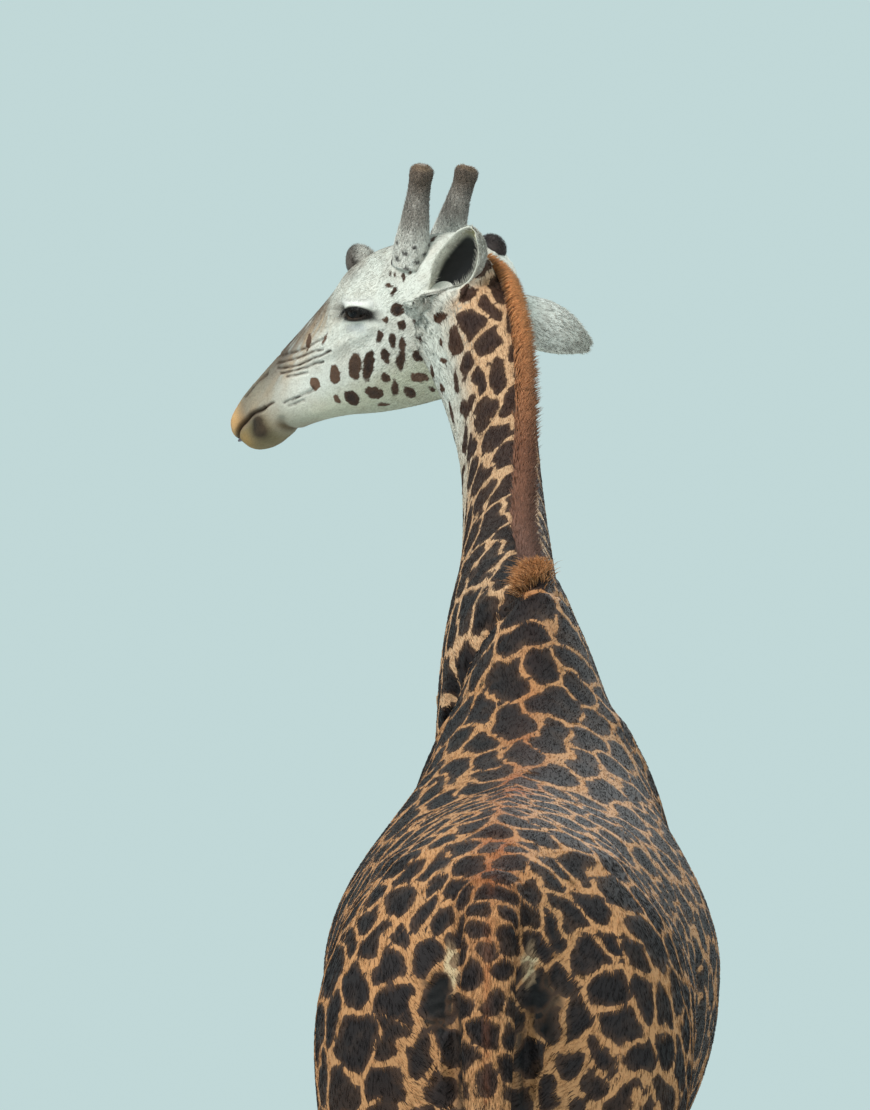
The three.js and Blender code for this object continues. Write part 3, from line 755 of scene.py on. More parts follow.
BODY_RELIEF = [
    Bump((0.235, 0.6, 2.43), 0.075, 0.013),  # hip bone
    Bump((0.095, -0.02, 2.215), 0.05, 0.012),  # pin bone
    Bump((0.12, 0.76, 2.49), 0.09, -0.007),  # loin
    Bump((0.17, 1.68, 2.02), 0.085, 0.012),  # point of the shoulder
    Bump((0.225, 1.32, 1.91), 0.05, 0.01),  # elbow
    Bump((0.21, 0.56, 1.68), 0.075, 0.01),  # stifle
    Bump((0.152, -0.01, 1.03), 0.035, 0.009),  # hock
    Bump((0.15, 1.5, 1.035), 0.045, 0.006),  # knee
    Bump((0.0, 1.47, 2.96), 0.07, 0.008),  # withers
    Crease(((0, 0.2, 2.41), (0, 0.74, 2.52), (0, 1.04, 2.63), (0, 1.31, 2.85)), 0.022, 0.008),
    Crease(((0.2, 1.36, 2.64), (0.235, 1.5, 2.2)), 0.045, 0.009),  # blade of the shoulder
    Crease(((0.285, 1.25, 2.38), (0.255, 1.31, 1.96)), 0.038, -0.012),  # behind the shoulder
    Crease(((0.33, 0.62, 2.15), (0.24, 0.67, 1.76)), 0.036, -0.016),  # fold of the flank
    Crease(((0.15, -0.03, 2.16), (0.21, 0.02, 1.85), (0.225, 0.13, 1.6)), 0.028, -0.01),
    Crease(((0.062, -0.075, 2.25), (0.07, -0.05, 2.08), (0.066, -0.03, 1.93)), 0.013, -0.02),
    Crease(((0.095, -0.05, 2.18), (0.1, -0.02, 1.96)), 0.01, -0.01),  # beside the tail
    Crease(((0.082, -0.065, 2.19), (0.088, -0.03, 1.98)), 0.008, 0.006),
    Crease(((0.178, 0.085, 0.84), (0.176, 0.112, 0.42)), 0.01, -0.005),  # along the cannon
    Crease(((0.18, 1.41, 0.88), (0.178, 1.412, 0.43)), 0.01, -0.005),
]

# On the head, in its own frame: x forward, y left and mirrored, z up.
MOUTH = Crease(
    ((0.79, 0, -0.006), (0.763, 0, 0.0), (0.732, 0, 0.008), (0.69, 0, 0.011), (0.652, 0, 0.0075)),
    0.0042, -0.012, flat=True)
NOSTRIL = Crease(((0.69, 0, 0.058), (0.655, 0, 0.068), (0.612, 0, 0.07)), 0.004, -0.008, flat=True)
WRINKLES = [Crease(points, 0.003, -0.0052, flat=True) for points in (
    ((0.576, 0, 0.09), (0.53, 0, 0.072), (0.47, 0, 0.052), (0.43, 0, 0.046)),
    ((0.582, 0, 0.0745), (0.515, 0, 0.051), (0.442, 0, 0.026)),
    ((0.58, 0, 0.062), (0.522, 0, 0.035), (0.47, 0, 0.021), (0.425, 0, 0.012)),
    ((0.576, 0, 0.05), (0.508, 0, 0.018), (0.46, 0, 0.006)),
    ((0.562, 0, 0.033), (0.514, 0, 0.008)),
    ((0.606, 0, -0.01), (0.56, 0, -0.024), (0.52, 0, -0.028)),
    ((0.6, 0, -0.024), (0.562, 0, -0.034)),
    ((0.648, 0, 0.006), (0.626, 0, 0.003)))]
HEAD_RELIEF = [
    MOUTH,
    NOSTRIL,
    *WRINKLES,
    Crease(((0.652, 0, -0.084), (0.646, 0, -0.058), (0.636, 0, -0.038)), 0.009, -0.009, True),  # chin's back
    Bump((0.752, 0.016, 0.026), 0.022, 0.006),  # overhang of the upper lip
    Bump((0.715, 0.03, -0.03), 0.03, 0.005),  # front of the chin
    Crease(((0.665, 0.036, 0.072), (0.6, 0.052, 0.068), (0.545, 0.058, 0.06)), 0.006, 0.0045),
    Crease(((0.27, 0.098, -0.008), (0.34, 0.102, -0.004), (0.42, 0.09, 0.012), (0.47, 0.078, 0.022)),
           0.01, 0.007),  # under the eye
    Crease(((0.29, 0.1, -0.03), (0.37, 0.096, -0.028), (0.44, 0.084, -0.01)), 0.012, -0.0045),
    Crease(((0.27, 0.1, 0.085), (0.33, 0.096, 0.098), (0.385, 0.082, 0.08)), 0.007, 0.004),
    Bump((0.2, 0.085, -0.11), 0.075, 0.008),  # cheek
    Bump((0.235, 0.088, 0.07), 0.03, -0.007),  # temple
    Bump((0.42, 0.07, 0.07), 0.045, -0.005),  # before the eye
    Bump((0.54, 0.065, -0.045), 0.05, -0.005),  # behind the lips
    Bump((0.69, 0.045, 0.03), 0.034, 0.005),  # upper lip
    Bump((0.166, 0.061, 0.074), 0.046, 0.013),  # foot of the horn
    Crease(((0.35, 0.0, 0.146), (0.56, 0.0, 0.102)), 0.02, 0.0035),  # bridge of the nose
    Crease(((0.56, 0.045, -0.075), (0.42, 0.066, -0.14), (0.26, 0.07, -0.2)), 0.014, 0.004),
]


@dataclass(frozen=True)
class Lids:
    """The opening of the eye, cut and rimmed in the skin."""

    long: float = 0.0245  # half the opening's length, on the ball's surface
    high: float = 0.011
    low: float = 0.0105
    tilt: float = -33.0  # degrees, the front corner higher
    rim: float = 0.0032  # how far the lids stand off the ball
    inner: float = 0.006  # how far the skin goes behind the ball's surface

    def spot(self, head: Array) -> tuple[Array, Array, Array]:
        """Where points lie as seen from the ball's centre.

        Args:
            head: Points in the head's frame, folded onto its left side.

        Returns:
            How far out of the opening, 1 on its edge; the height over it; and the distance from the centre.
        """
        d = head - EYE_AT
        r = np.linalg.norm(d, axis=1)
        u, v = (d / r[:, None])[:, 0] * EYE_RADIUS, (d / r[:, None])[:, 2] * EYE_RADIUS
        a = math.radians(self.tilt)
        along, up = u * math.cos(a) - v * math.sin(a), u * math.sin(a) + v * math.cos(a)
        tall = np.where(up > 0, self.high, self.low)
        out = np.sqrt((np.abs(along) / self.long) ** 2 + (np.abs(up) / tall) ** 1.7)
        return np.where(d[:, 1] > 0, out, 9.0), up, r

    def carve(self, head: Array) -> Array:
        """Draws the skin in behind the ball inside the opening, and out over the ball round it.

        Args:
            head: Points in the head's frame, folded onto its left side.

        Returns:
            The points, moved.
        """
        out, up, r = self.spot(head)
        near = 1 - ramp(r, 0.04, 0.062)
        inside = EYE_RADIUS - self.inner
        rim = EYE_RADIUS + self.rim + 0.0016 * (up > 0)
        held = np.where(out < 1, inside, rim + (r - rim) * ramp(out, 1.05, 2.1))
        fold = -0.0022 * bell(out - 1.75, 0.16) * (up > 0) + 0.0016 * bell(out - 1.35, 0.16)
        fold -= 0.0015 * bell(out - 1.9, 0.2) * (up <= 0)
        target = np.where(out < 2.1, held, r) + np.where(out > 1, fold, 0) * near
        scale = 1 + (target / r - 1) * np.where(out < 2.4, 1, 0)
        return EYE_AT + (head - EYE_AT) * scale[:, None]


LIDS = Lids()


class Relief:
    """What stands out of or sinks into the plain surface."""

    def body(self, region: Region) -> Array:
        """Bones, folds and muscles of the body, along the normal.

        Args:
            region: What is known of the points.

        Returns:
            How far each point is moved along its normal.
        """
        p = both_sides(region.p, 0)
        x, y, z = p.T
        out = sum(item.rise(p) for item in BODY_RELIEF)
        ribs = np.sin(2 * np.pi * (y - 0.3 * (z - 2.1)) / 0.082)
        out += 0.0022 * ribs * bell(y - 1.02, 0.2) * bell(z - 2.14, 0.22) * ramp(x, 0.18, 0.3)
        out += self.throat(region)
        bare = 1 - ramp(np.hypot((x - 0.092) / 0.03, (z - 2.095) / 0.058), 0.7, 1.1)
        out += bare * (y < 0.14) * (-0.008 + 0.003 * np.sin(2 * np.pi * (z + 0.4 * x) / 0.022))
        return out * (1 - ramp(region.weight["head"], 0.2, 0.7))

    def throat(self, region: Region) -> Array:
        """Folds that run down the neck from behind the jaw, and the long groove low on each side of it.

        Args:
            region: What is known of the points.

        Returns:
            How far each point is moved along its normal.
        """
        fit = region.fits["neck"]
        on = region.weight["neck"]
        waver = 0.25 * np.sin(31 * fit.share + 4 * fit.angle)
        folds = np.sin(26 * fit.angle + waver * 4) * bell(np.abs(fit.angle + 0.25), 1.15)
        upper = ramp(fit.share, 0.7, 0.88) * (1 - ramp(fit.share, 0.97, 1.0))
        groove = bell(np.sin(fit.angle) + 0.45, 0.16) * ramp(fit.share, 0.15, 0.35)
        groove *= 1 - ramp(fit.share, 0.78, 0.92)
        return on * (0.002 * folds * upper - 0.006 * groove * (1 - 0.6 * upper))

    def head(self, head: Array) -> Array:
        """Bones, lips, nostrils and wrinkles of the head, along the normal."""
        p = both_sides(head, 1)
        return sum(item.rise(p) for item in HEAD_RELIEF)


# Meshes ------------------------------------------------------

def make_mesh(name: str, points: Array, faces: Array, smooth: bool = True) -> bpy.types.Object:
    """Makes an object from arrays.

    Args:
        name: The piece's name.
        points: Points in the body's coordinates.
        faces: Corners of each face, all with the same number of corners.
        smooth: Whether faces are shaded smooth.

    Returns:
        The object, linked and at the origin, with its mesh in the frame's coordinates.
    """
    mesh = bpy.data.meshes.new(name)
    count, corners = faces.shape
    mesh.vertices.add(len(points))
    mesh.vertices.foreach_set("co", (points - ORIGIN_SHIFT).astype(np.float32).ravel())
    mesh.loops.add(count * corners)
    mesh.loops.foreach_set("vertex_index", faces.astype(np.int32).ravel())
    mesh.polygons.add(count)
    mesh.polygons.foreach_set("loop_start", np.arange(count, dtype=np.int32) * corners)
    mesh.polygons.foreach_set("use_smooth", np.full(count, smooth))
    mesh.update(calc_edges=True)
    mesh.validate()
    made = bpy.data.objects.new(name, mesh)
    bpy.context.scene.collection.objects.link(made)
    return made


def set_attribute(mesh: bpy.types.Mesh, name: str, values: Array) -> None:
    """Stores a number or a vector for each vertex."""
    kind, key = ("FLOAT", "value") if values.ndim == 1 else ("FLOAT_VECTOR", "vector")
    mesh.attributes.new(name, kind, "POINT").data.foreach_set(key, values.astype(np.float32).ravel())


def read_mesh(mesh: bpy.types.Mesh) -> tuple[Array, Array]:
    """The points, in the body's coordinates, and the triangles of a mesh."""
    mesh.calc_loop_triangles()
    points = np.empty(len(mesh.vertices) * 3, np.float32)
    mesh.vertices.foreach_get("co", points)
    faces = np.empty(len(mesh.loop_triangles) * 3, np.int32)
    mesh.loop_triangles.foreach_get("vertices", faces)
    return points.reshape(-1, 3).astype(float) + ORIGIN_SHIFT, faces.reshape(-1, 3)


def vertex_normals(points: Array, faces: Array) -> tuple[Array, Array]:
    """Unit normals and areas at the vertices, from the cross products of the triangles round each.

    Args:
        points: The vertices.
        faces: The triangles.

    Returns:
        The normals, and a third of the area of each vertex's triangles.
    """
    corner = points[faces]
    cross = np.cross(corner[:, 1] - corner[:, 0], corner[:, 2] - corner[:, 0])
    flat, n = faces.ravel(), len(points)
    total = np.stack([np.bincount(flat, np.repeat(cross[:, k], 3), n) for k in range(3)], 1)
    return unit(total), np.bincount(flat, np.repeat(np.linalg.norm(cross, axis=1) / 6, 3), n)


# Markings ----------------------------------------------------

def shade(red: float, green: float, blue: float) -> Array:
    """A linear colour from the 0 to 255 values of a screen colour."""
    c = np.array([red, green, blue]) / 255
    return np.where(c <= 0.04045, c / 12.92, ((c + 0.055) / 1.055) ** 2.4)


def over(base: Array, colour: Array, share: Array) -> Array:
    """Lays a colour over others by a share for each point."""
    return base + (colour - base) * np.clip(share, 0, 1)[:, None]


def plain(count: int, *screen: float) -> Array:
    """One screen colour for each of a number of points."""
    return np.tile(shade(*screen), (count, 1))


def painted(base: Array, *layers: tuple[tuple, Array]) -> Array:
    """Lays screen colours over others, one after another, each by its own share for each point.

    Args:
        base: The colours underneath.
        layers: Screen colours, each with its shares.

    Returns:
        The mixed colours, linear.
    """
    for screen, share in layers:
        base = over(base, shade(*screen), share)
    return base


def waver(p: Array, pitch: float, seed: int) -> Array:
    """Soft pseudo-noise from about -1 to 1: for each axis a sum of sines along slanted directions.

    Args:
        p: Points.
        pitch: About the length of its waves.
        seed: Seed of its draws.

    Returns:
        Three numbers for each point.
    """
    draw = np.random.default_rng(seed)
    total = np.zeros((len(p), 3))
    for k in range(5):
        way = unit(draw.normal(size=(3, 3)))
        total += np.sin(p @ way.T * (2 * np.pi / pitch * (0.7 + 0.28 * k)) + draw.uniform(0, 6.3, 3))
    return total / 3.2


@dataclass(frozen=True)
class Spot:
    """A dark spot on the face: its place, half its length and width, the way it points, and its depth."""

    x: float
    z: float
    long: float
    wide: float
    angle: float
    depth: float = 1.0


# In millimetres and degrees in the head's frame, on the left side. Depth is 1 for black-brown.
FACE_SPOTS = [Spot(*row) for row in (
    (80, 111, 6, 5, 125), (92, 116, 6, 4, 125), (94, 85, 5, 6, 125), (107, 103, 8, 6, 125),
    (107, 84, 8, 5, 125), (123, 73, 11, 6, 142), (79, 84, 4, 4, 125), (136, 100, 6, 3, 136),
    (159, 72, 10, 6, 125, 0.8), (175, 43, 9, 6, 125), (191, 58, 6, 3, 125), (201, 67, 6, 4, 125),
    (150, 46, 12, 5, 158, 0.8), (220, 47, 6, 10, 125, 0.8), (213, 29, 12, 6, 163), (226, -8, 15, 18, 125),
    (262, -14, 8, 6, 125, 0.7), (236, -42, 11, 11, 125), (199, -53, 12, 11, 125), (299, -31, 15, 9, 142),
    (276, -56, 18, 9, 125), (263, -76, 19, 8, 136, 0.85), (291, -98, 24, 10, 147),
    (220, -112, 21, 9, 101), (249, -115, 15, 12, 113), (315, -72, 18, 12, 125), (365, -65, 37, 13, 147),
    (396, -48, 31, 17, 142, 0.75), (453, -33, 22, 13, 139, 0.55), (511, -20, 14, 14, 125, 0.3),
    (351, -106, 11, 12, 125, 0.85), (351, -133, 20, 7, 142, 0.85), (400, -114, 15, 22, 125, 0.85),
    (457, -92, 17, 18, 125, 0.95), (490, -74, 12, 7, 101, 0.5), (331, -158, 14, 14, 125, 0.85),
    (282, -149, 12, 21, 125, 0.5), (251, -177, 12, 12, 125, 0.9), (283, -181, 6, 7, 125, 0.8),
    (406, -144, 6, 19, 125, 0.6), (473, 64, 19, 8, 131, 0.55), (165, -77, 5, 5, 125, 0.5),
    (430, 42, 14, 5, 150, 0.35))]


@dataclass
class Coat:
    """The marking of points: how far inside a patch, the two colours, and a number for each patch."""

    patch: Array
    ground: Array
    blotch: Array
    cell: Array

    def repeated(self, times: int) -> "Coat":
        """The marking with each point's row repeated."""
        return Coat(*(np.repeat(v, times, 0) for v in (self.patch, self.ground, self.blotch, self.cell)))

    def store(self, mesh: bpy.types.Mesh) -> None:
        """Stores the marking as attributes, which the shaders read."""
        for name in ("patch", "ground", "blotch", "cell"):
            set_attribute(mesh, name, getattr(self, name))


class Markings:
    """The giraffe's patches, grown from seeds spread over the skin, and the spots of its face.

    Each patch is what lies nearest to its seed, drawn in by half a line's width. The seeds are relaxed
    towards the middles of their patches, so the patches are even, and smaller where the size is smaller.
    """

    NECK_FROM = np.array([-0.01, 1.48, 2.8])
    NECK_WAY = np.array([-0.095, 0.838, 0.537])
    STRETCH = 0.46  # how much shorter the pattern's space is along the neck
    PACKING = 0.88  # a patch's area as a share of the square of its width
    SAMPLE = 34000  # how many points relax the seeds
    ROUNDS = 7
    PULL = 3.4  # how strongly small patches hold their own
    RUST = (150, 84, 46)

    def __init__(self, skin: Array, region: Region, area: Array) -> None:
        """Spreads and relaxes the seeds.

        Args:
            skin: Points of the skin.
            region: Their region.
            area: The area that each point stands for.
        """
        draw = np.random.default_rng(11)
        at = self.space(skin)
        size = self.size(region)
        wanted = area * self.squeeze(skin) / (self.PACKING * size ** 2)
        count = int(wanted.sum())
        chosen = draw.choice(len(skin), count, replace=False, p=wanted / wanted.sum())
        seeds = at[chosen]
        few = draw.choice(len(skin), self.SAMPLE, replace=False)
        at, area, size = at[few], area[few], size[few]
        for _ in range(self.ROUNDS):
            owner, _ = nearest(at, seeds, 1)
            pull = area / size ** self.PULL
            mass = np.bincount(owner[:, 0], pull, len(seeds))
            mean = np.stack([np.bincount(owner[:, 0], pull * at[:, k], len(seeds)) for k in range(3)], 1)
            seeds = np.where(mass[:, None] > 0, mean / np.maximum(mass, 1e-12)[:, None], seeds)
        self.seeds = seeds
        self.tone = draw.uniform(0, 1, len(seeds))
        LOG.info("markings: %d patches", len(seeds))

    def space(self, p: Array) -> Array:
        """The pattern's space: the body's, shortened along the neck so that patches are long there."""
        far = (p - self.NECK_FROM) @ self.NECK_WAY
        soft = 0.5 * (far + np.sqrt(far ** 2 + 0.03 ** 2))
        drawn = 0.26 * ramp(p[:, 1], 0.6, 1.3) * ramp(p[:, 2], 2.12, 2.5)
        return p - self.STRETCH * soft[:, None] * self.NECK_WAY - drawn[:, None] * [0, 1, 0]

    def squeeze(self, p: Array) -> Array:
        """How much of a surface's area is left in the pattern's space."""
        t = np.clip((p[:, 1] - 0.6) / 0.7, 0, 1)
        back = 0.26 * 6 * t * (1 - t) / 0.7 * ramp(p[:, 2], 2.12, 2.5)
        return (1 - self.STRETCH * ramp((p - self.NECK_FROM) @ self.NECK_WAY, -0.03, 0.03)) * (1 - back)

    def size(self, region: Region) -> Array:
        """The width of a patch: large on the flank, small down the legs, the tail and along the spine.

        Args:
            region: What is known of the points.

        Returns:
            A width for each point.
        """
        x, y, z = region.p.T
        table = np.interp(z, [0.1, 0.5, 0.95, 1.35, 1.75, 2.1, 2.35, 2.5],
                          [0.034, 0.042, 0.054, 0.074, 0.09, 0.088, 0.078, 0.074])
        flank = bell(y - 0.75, 0.3) * ramp(np.abs(x), 0.2, 0.36)
        table *= 1 + 0.3 * bell(y - 1.4, 0.34) * (z > 1.7) + 0.22 * flank
        table *= 1 - 0.24 * bell(np.abs(x), 0.05) * bell(y - 0.45, 0.5) * (z > 2.2)
        fit = region.fits["neck"]
        neck = np.interp(fit.share, [0, 0.3, 0.6, 0.85, 1], [0.084, 0.086, 0.08, 0.058, 0.046])
        neck *= 1 - 0.18 * ramp(-np.sin(fit.angle), 0.0, 0.6) * ramp(fit.share, 0.45, 0.8)
        table += (neck - table) * region.weight["neck"]
        table += (0.062 - table) * region.weight["tail"]
        return np.maximum(table + (0.05 - table) * region.weight["head"], 0.03)

    def line(self, region: Region) -> Array:
        """Half the width of the lines between patches.

        Args:
            region: What is known of the points.

        Returns:
            Half a width for each point.
        """
        x, _, z = region.p.T
        wide = np.interp(z, [0.2, 0.9, 1.5, 1.9, 2.3], [0.0105, 0.0098, 0.0082, 0.0054, 0.0046])
        fit = region.fits["neck"]
        under = ramp(-np.sin(fit.angle), -0.1, 0.75) * ramp(fit.share, 0.02, 0.6)
        wide += region.weight["neck"] * (0.0006 + 0.0085 * under)
        belly = ramp(1.86 - z, 0.0, 0.16) * (1 - np.clip(region.legs(), 0, 1)) * bell(x, 0.2)
        return wide + 0.008 * belly + (0.0034 - wide) * region.weight["tail"]

    def edge(self, p: Array, size: Array) -> tuple[Array, Array]:
        """The nearest seeds of wandering points, and how far each is from the middle of a line.

        Args:
            p: Points in the body's coordinates.
            size: The width of a patch at each.

        Returns:
            The seeds' numbers, and the distances.
        """
        at = self.space(p) + waver(p, 0.11, 5) * (0.2 * size)[:, None]
        at += waver(p, 0.04, 6) * (0.065 * size)[:, None]
        return nearest(at, self.seeds, 6)

    def align(self, surface: "Surface") -> Array:
        """Slides points that are near the middle of a line onto it, so that lines are drawn cleanly.

        The slope of the distance is taken along the surface, and nothing moves by more than half the
        spacing of the points.

        Args:
            surface: The skin.

        Returns:
            All its points, some of them moved.
        """
        p, region = surface.points, surface.region
        size = self.size(region)
        on = region.weight["head"] < 0.4
        q, normal = p[on], surface.normals[on]
        reach = 0.55 * np.sqrt(surface.area[on] * 1.15)
        here = self.edge(q, size[on])[1]
        close = here < reach
        q, normal, reach, here, local = q[close], normal[close], reach[close], here[close], size[on][close]
        side = unit(np.cross(normal, [0.31, 0.52, 0.8]))
        step = 0.0015
        slope = sum(((self.edge(q + v * step, local)[1] - here) / step)[:, None] * v
                    for v in (side, np.cross(normal, side)))
        steep = np.maximum((slope ** 2).sum(1), 0.35)
        move = -slope * (here / steep)[:, None]
        far = np.linalg.norm(move, axis=1)
        move *= np.minimum(1, reach / np.maximum(far, 1e-9))[:, None]
        moved = p.copy()
        index = np.flatnonzero(on)[close]
        moved[index] = q + move
        return moved

    def read(self, region: Region) -> Coat:
        """The marking of points of a region."""
        owner, edge = self.edge(region.p, self.size(region))
        patch = edge - self.line(region)
        cell = self.tone[owner[:, 0]]
        ground, blotch = self.colours(region, cell)
        return self.face(region, Coat(patch, ground, blotch, cell))

    def colours(self, region: Region, cell: Array) -> tuple[Array, Array]:
        """The colours of the lines and of the patches by region.

        Args:
            region: What is known of the points.
            cell: The number of each point's patch, from 0 to 1.

        Returns:
            The lines' colours and the patches' colours.
        """
        x, y, z = region.p.T
        fit, neck, tail = region.fits["neck"], region.weight["neck"], region.weight["tail"]
        under = ramp(-np.sin(fit.angle), -0.35, 0.55) * ramp(fit.share, 0.3, 0.8)
        lined = np.sin(62 * fit.angle + 3 * np.sin(18 * fit.share) + 2 * np.sin(7 * fit.angle))
        lined = ramp(lined, 0.25, 0.95) * bell(fit.share - 0.82, 0.1)
        lined *= ramp(0.55 - np.sin(fit.angle), 0, 0.3)
        ground = painted(
            plain(len(x), 184, 134, 90),
            ((206, 174, 132), ramp(2.0 - z, 0.0, 0.45) * 0.75),
            ((214, 206, 190), ramp(1.25 - z, 0, 0.6)),
            ((212, 172, 134), neck * 0.85),
            ((202, 205, 196), neck * under),
            ((206, 209, 200), neck * ramp(fit.share, 0.86, 0.98) * 0.9),
            ((150, 153, 146), neck * lined * 0.6),
            ((222, 208, 184), bell(x, 0.2) * ramp(1.84 - z, 0, 0.1)))
        blotch = painted(
            plain(len(x), 35, 29, 30),
            ((26, 21, 22), cell),
            ((62, 39, 30), neck * (0.45 + 0.4 * cell) * ramp(fit.share, 0.15, 0.5)),
            ((98, 70, 50), ramp(1.75 - z, 0, 0.7) * 0.8),
            ((76, 52, 38), ramp(2.02 - z, 0, 0.25) * (0.3 + 0.5 * cell)))
        broken = 0.75 + 0.45 * waver(region.p, 0.14, 14)[:, 0]
        spine = 1.2 * (bell(x, 0.046) * ramp(z, 2.05, 2.3) * (1 - neck))
        rusty = spine * (0.35 + 0.65 * bell(y - 0.7, 0.28) + 0.55 * bell(y - 0.12, 0.18)) * broken
        midline = bell(x, 0.006) * tail * broken
        bare, flap, tail_gap_shadow = self.beside_tail(region)
        # dark: the bare black skin, and the painted shadow in the gap between the tail and the rump
        dark = np.clip(bare + tail_gap_shadow, 0, 1)
        return (painted(ground, (self.RUST, rusty), (self.RUST, midline * 0.7),
                        ((200, 178, 142), flap), ((17, 16, 17), dark)),
                painted(blotch, ((84, 46, 30), rusty * 0.3), (self.RUST, midline * 0.25),
                        ((150, 124, 96), flap), ((15, 14, 15), dark)))

    def beside_tail(self, region: Region) -> tuple[Array, Array, Array]:
        """The shares of bare black skin, of the pale flaps over it, and of painted shadow in the gap beside
        the tail.
        """
        p = region.p + waver(region.p, 0.03, 15) * 0.005
        x, y, z = np.abs(p[:, 0]), p[:, 1], p[:, 2]
        off = (1 - ramp(region.weight["tail"], 0.3, 0.6)) * (y < 0.14)
        bare = (1 - ramp(np.hypot((x - 0.092) / 0.03, (z - 2.095) / 0.058), 0.88, 1.05)) * off
        flap = (1 - ramp(np.hypot((x - 0.069) / 0.013, (z - 2.165) / 0.048), 0.7, 1.15)) * off
        # painted shadow: a dark band down the gap between the tail and the rump
        tail_gap_shadow = bell(x - 0.052, 0.01) * (1 - ramp(z, 2.06, 2.11)) * ramp(z, 1.8, 1.95) * off
        return bare, flap, tail_gap_shadow

    def face(self, region: Region, coat: Coat) -> Coat:
        """Lays the face's own colours and spots over the marking, by the head's share.

        Args:
            region: What is known of the points.
            coat: The marking without the face.

        Returns:
            The marking with the face.
        """
        head = HEAD_FRAME.into(region.p)
        near = np.linalg.norm((both_sides(head, 1) - [0.085, 0.1, -0.045]) / [1.25, 1, 1.1], axis=1)
        share = np.maximum(ramp(region.weight["head"], 0.25, 0.75), 1 - ramp(near, 0.055, 0.08))
        on = share > 0
        if not on.any():
            return coat
        x, y, z = head[on].T
        mirrored = y < 0
        sx = np.where(mirrored, x + 0.01 * np.sin(37 * z + 2), x)
        sz = np.where(mirrored, z + 0.01 * np.sin(29 * x + 1), z)
        shift = waver(head[on], 0.03, 8) * 0.0022 + waver(head[on], 0.011, 9) * 0.0013
        sx, sz = sx + shift[:, 0], sz + shift[:, 2]
        patch = np.full(len(x), -0.012)
        depth = np.ones(len(x))
        for spot in FACE_SPOTS:
            turn = math.radians(spot.angle)
            dx, dz = sx * 1000 - spot.x, sz * 1000 - spot.z
            along = dx * math.cos(turn) + dz * math.sin(turn)
            aside = dz * math.cos(turn) - dx * math.sin(turn)
            inside = (1 - np.hypot(along / spot.long, aside / spot.wide)) * min(spot.long, spot.wide) / 1000
            depth = np.where(inside > patch, spot.depth, depth)
            patch = np.maximum(patch, inside)
        patch -= 0.02 * ramp(0.03 - np.abs(y), 0, 0.02)
        ground = self.face_ground(x, np.abs(y), z)
        blotch = painted(plain(len(x), 50, 40, 37), ((120, 92, 76), (1 - depth) * 1.4))
        keep = share[on]
        out = coat.repeated(1)
        out.patch[on] += (patch - out.patch[on]) * keep
        out.ground[on] += (ground - out.ground[on]) * keep[:, None]
        out.blotch[on] += (blotch - out.blotch[on]) * keep[:, None]
        return out

    def face_ground(self, x: Array, y: Array, z: Array) -> Array:
        """The face without its spots: pale, with a dark bridge of the nose, tan lips and dark rims, and
        painted shade under the jaw and in the creases of the mouth, nostrils, wrinkles and chin.

        Args:
            x: How far forward each point is on the head.
            y: How far from its middle.
            z: How high.

        Returns:
            A colour for each point.
        """
        head = np.stack([x, y, z], 1)
        top = np.interp(x, [0.0, 0.24, 0.37, 0.51, 0.64, 0.775], [0.06, 0.15, 0.137, 0.111, 0.088, 0.035])
        below = top - z
        streak = waver(head * [0.45, 1, 1], 0.02, 12)[:, 0]
        bridge = ramp(x, 0.33, 0.42) * (1 - ramp(below, 0.03, 0.078))
        beside = ramp(x, 0.34, 0.44) * bell(below - 0.05, 0.03)
        mouth = MOUTH.distance(head)
        chin = 1.3 * bell(np.hypot((x - 0.694) / 1.1, z + 0.027), 0.02)
        chin = chin + bell(np.hypot(x - 0.682, (z + 0.006) / 0.8), 0.014)
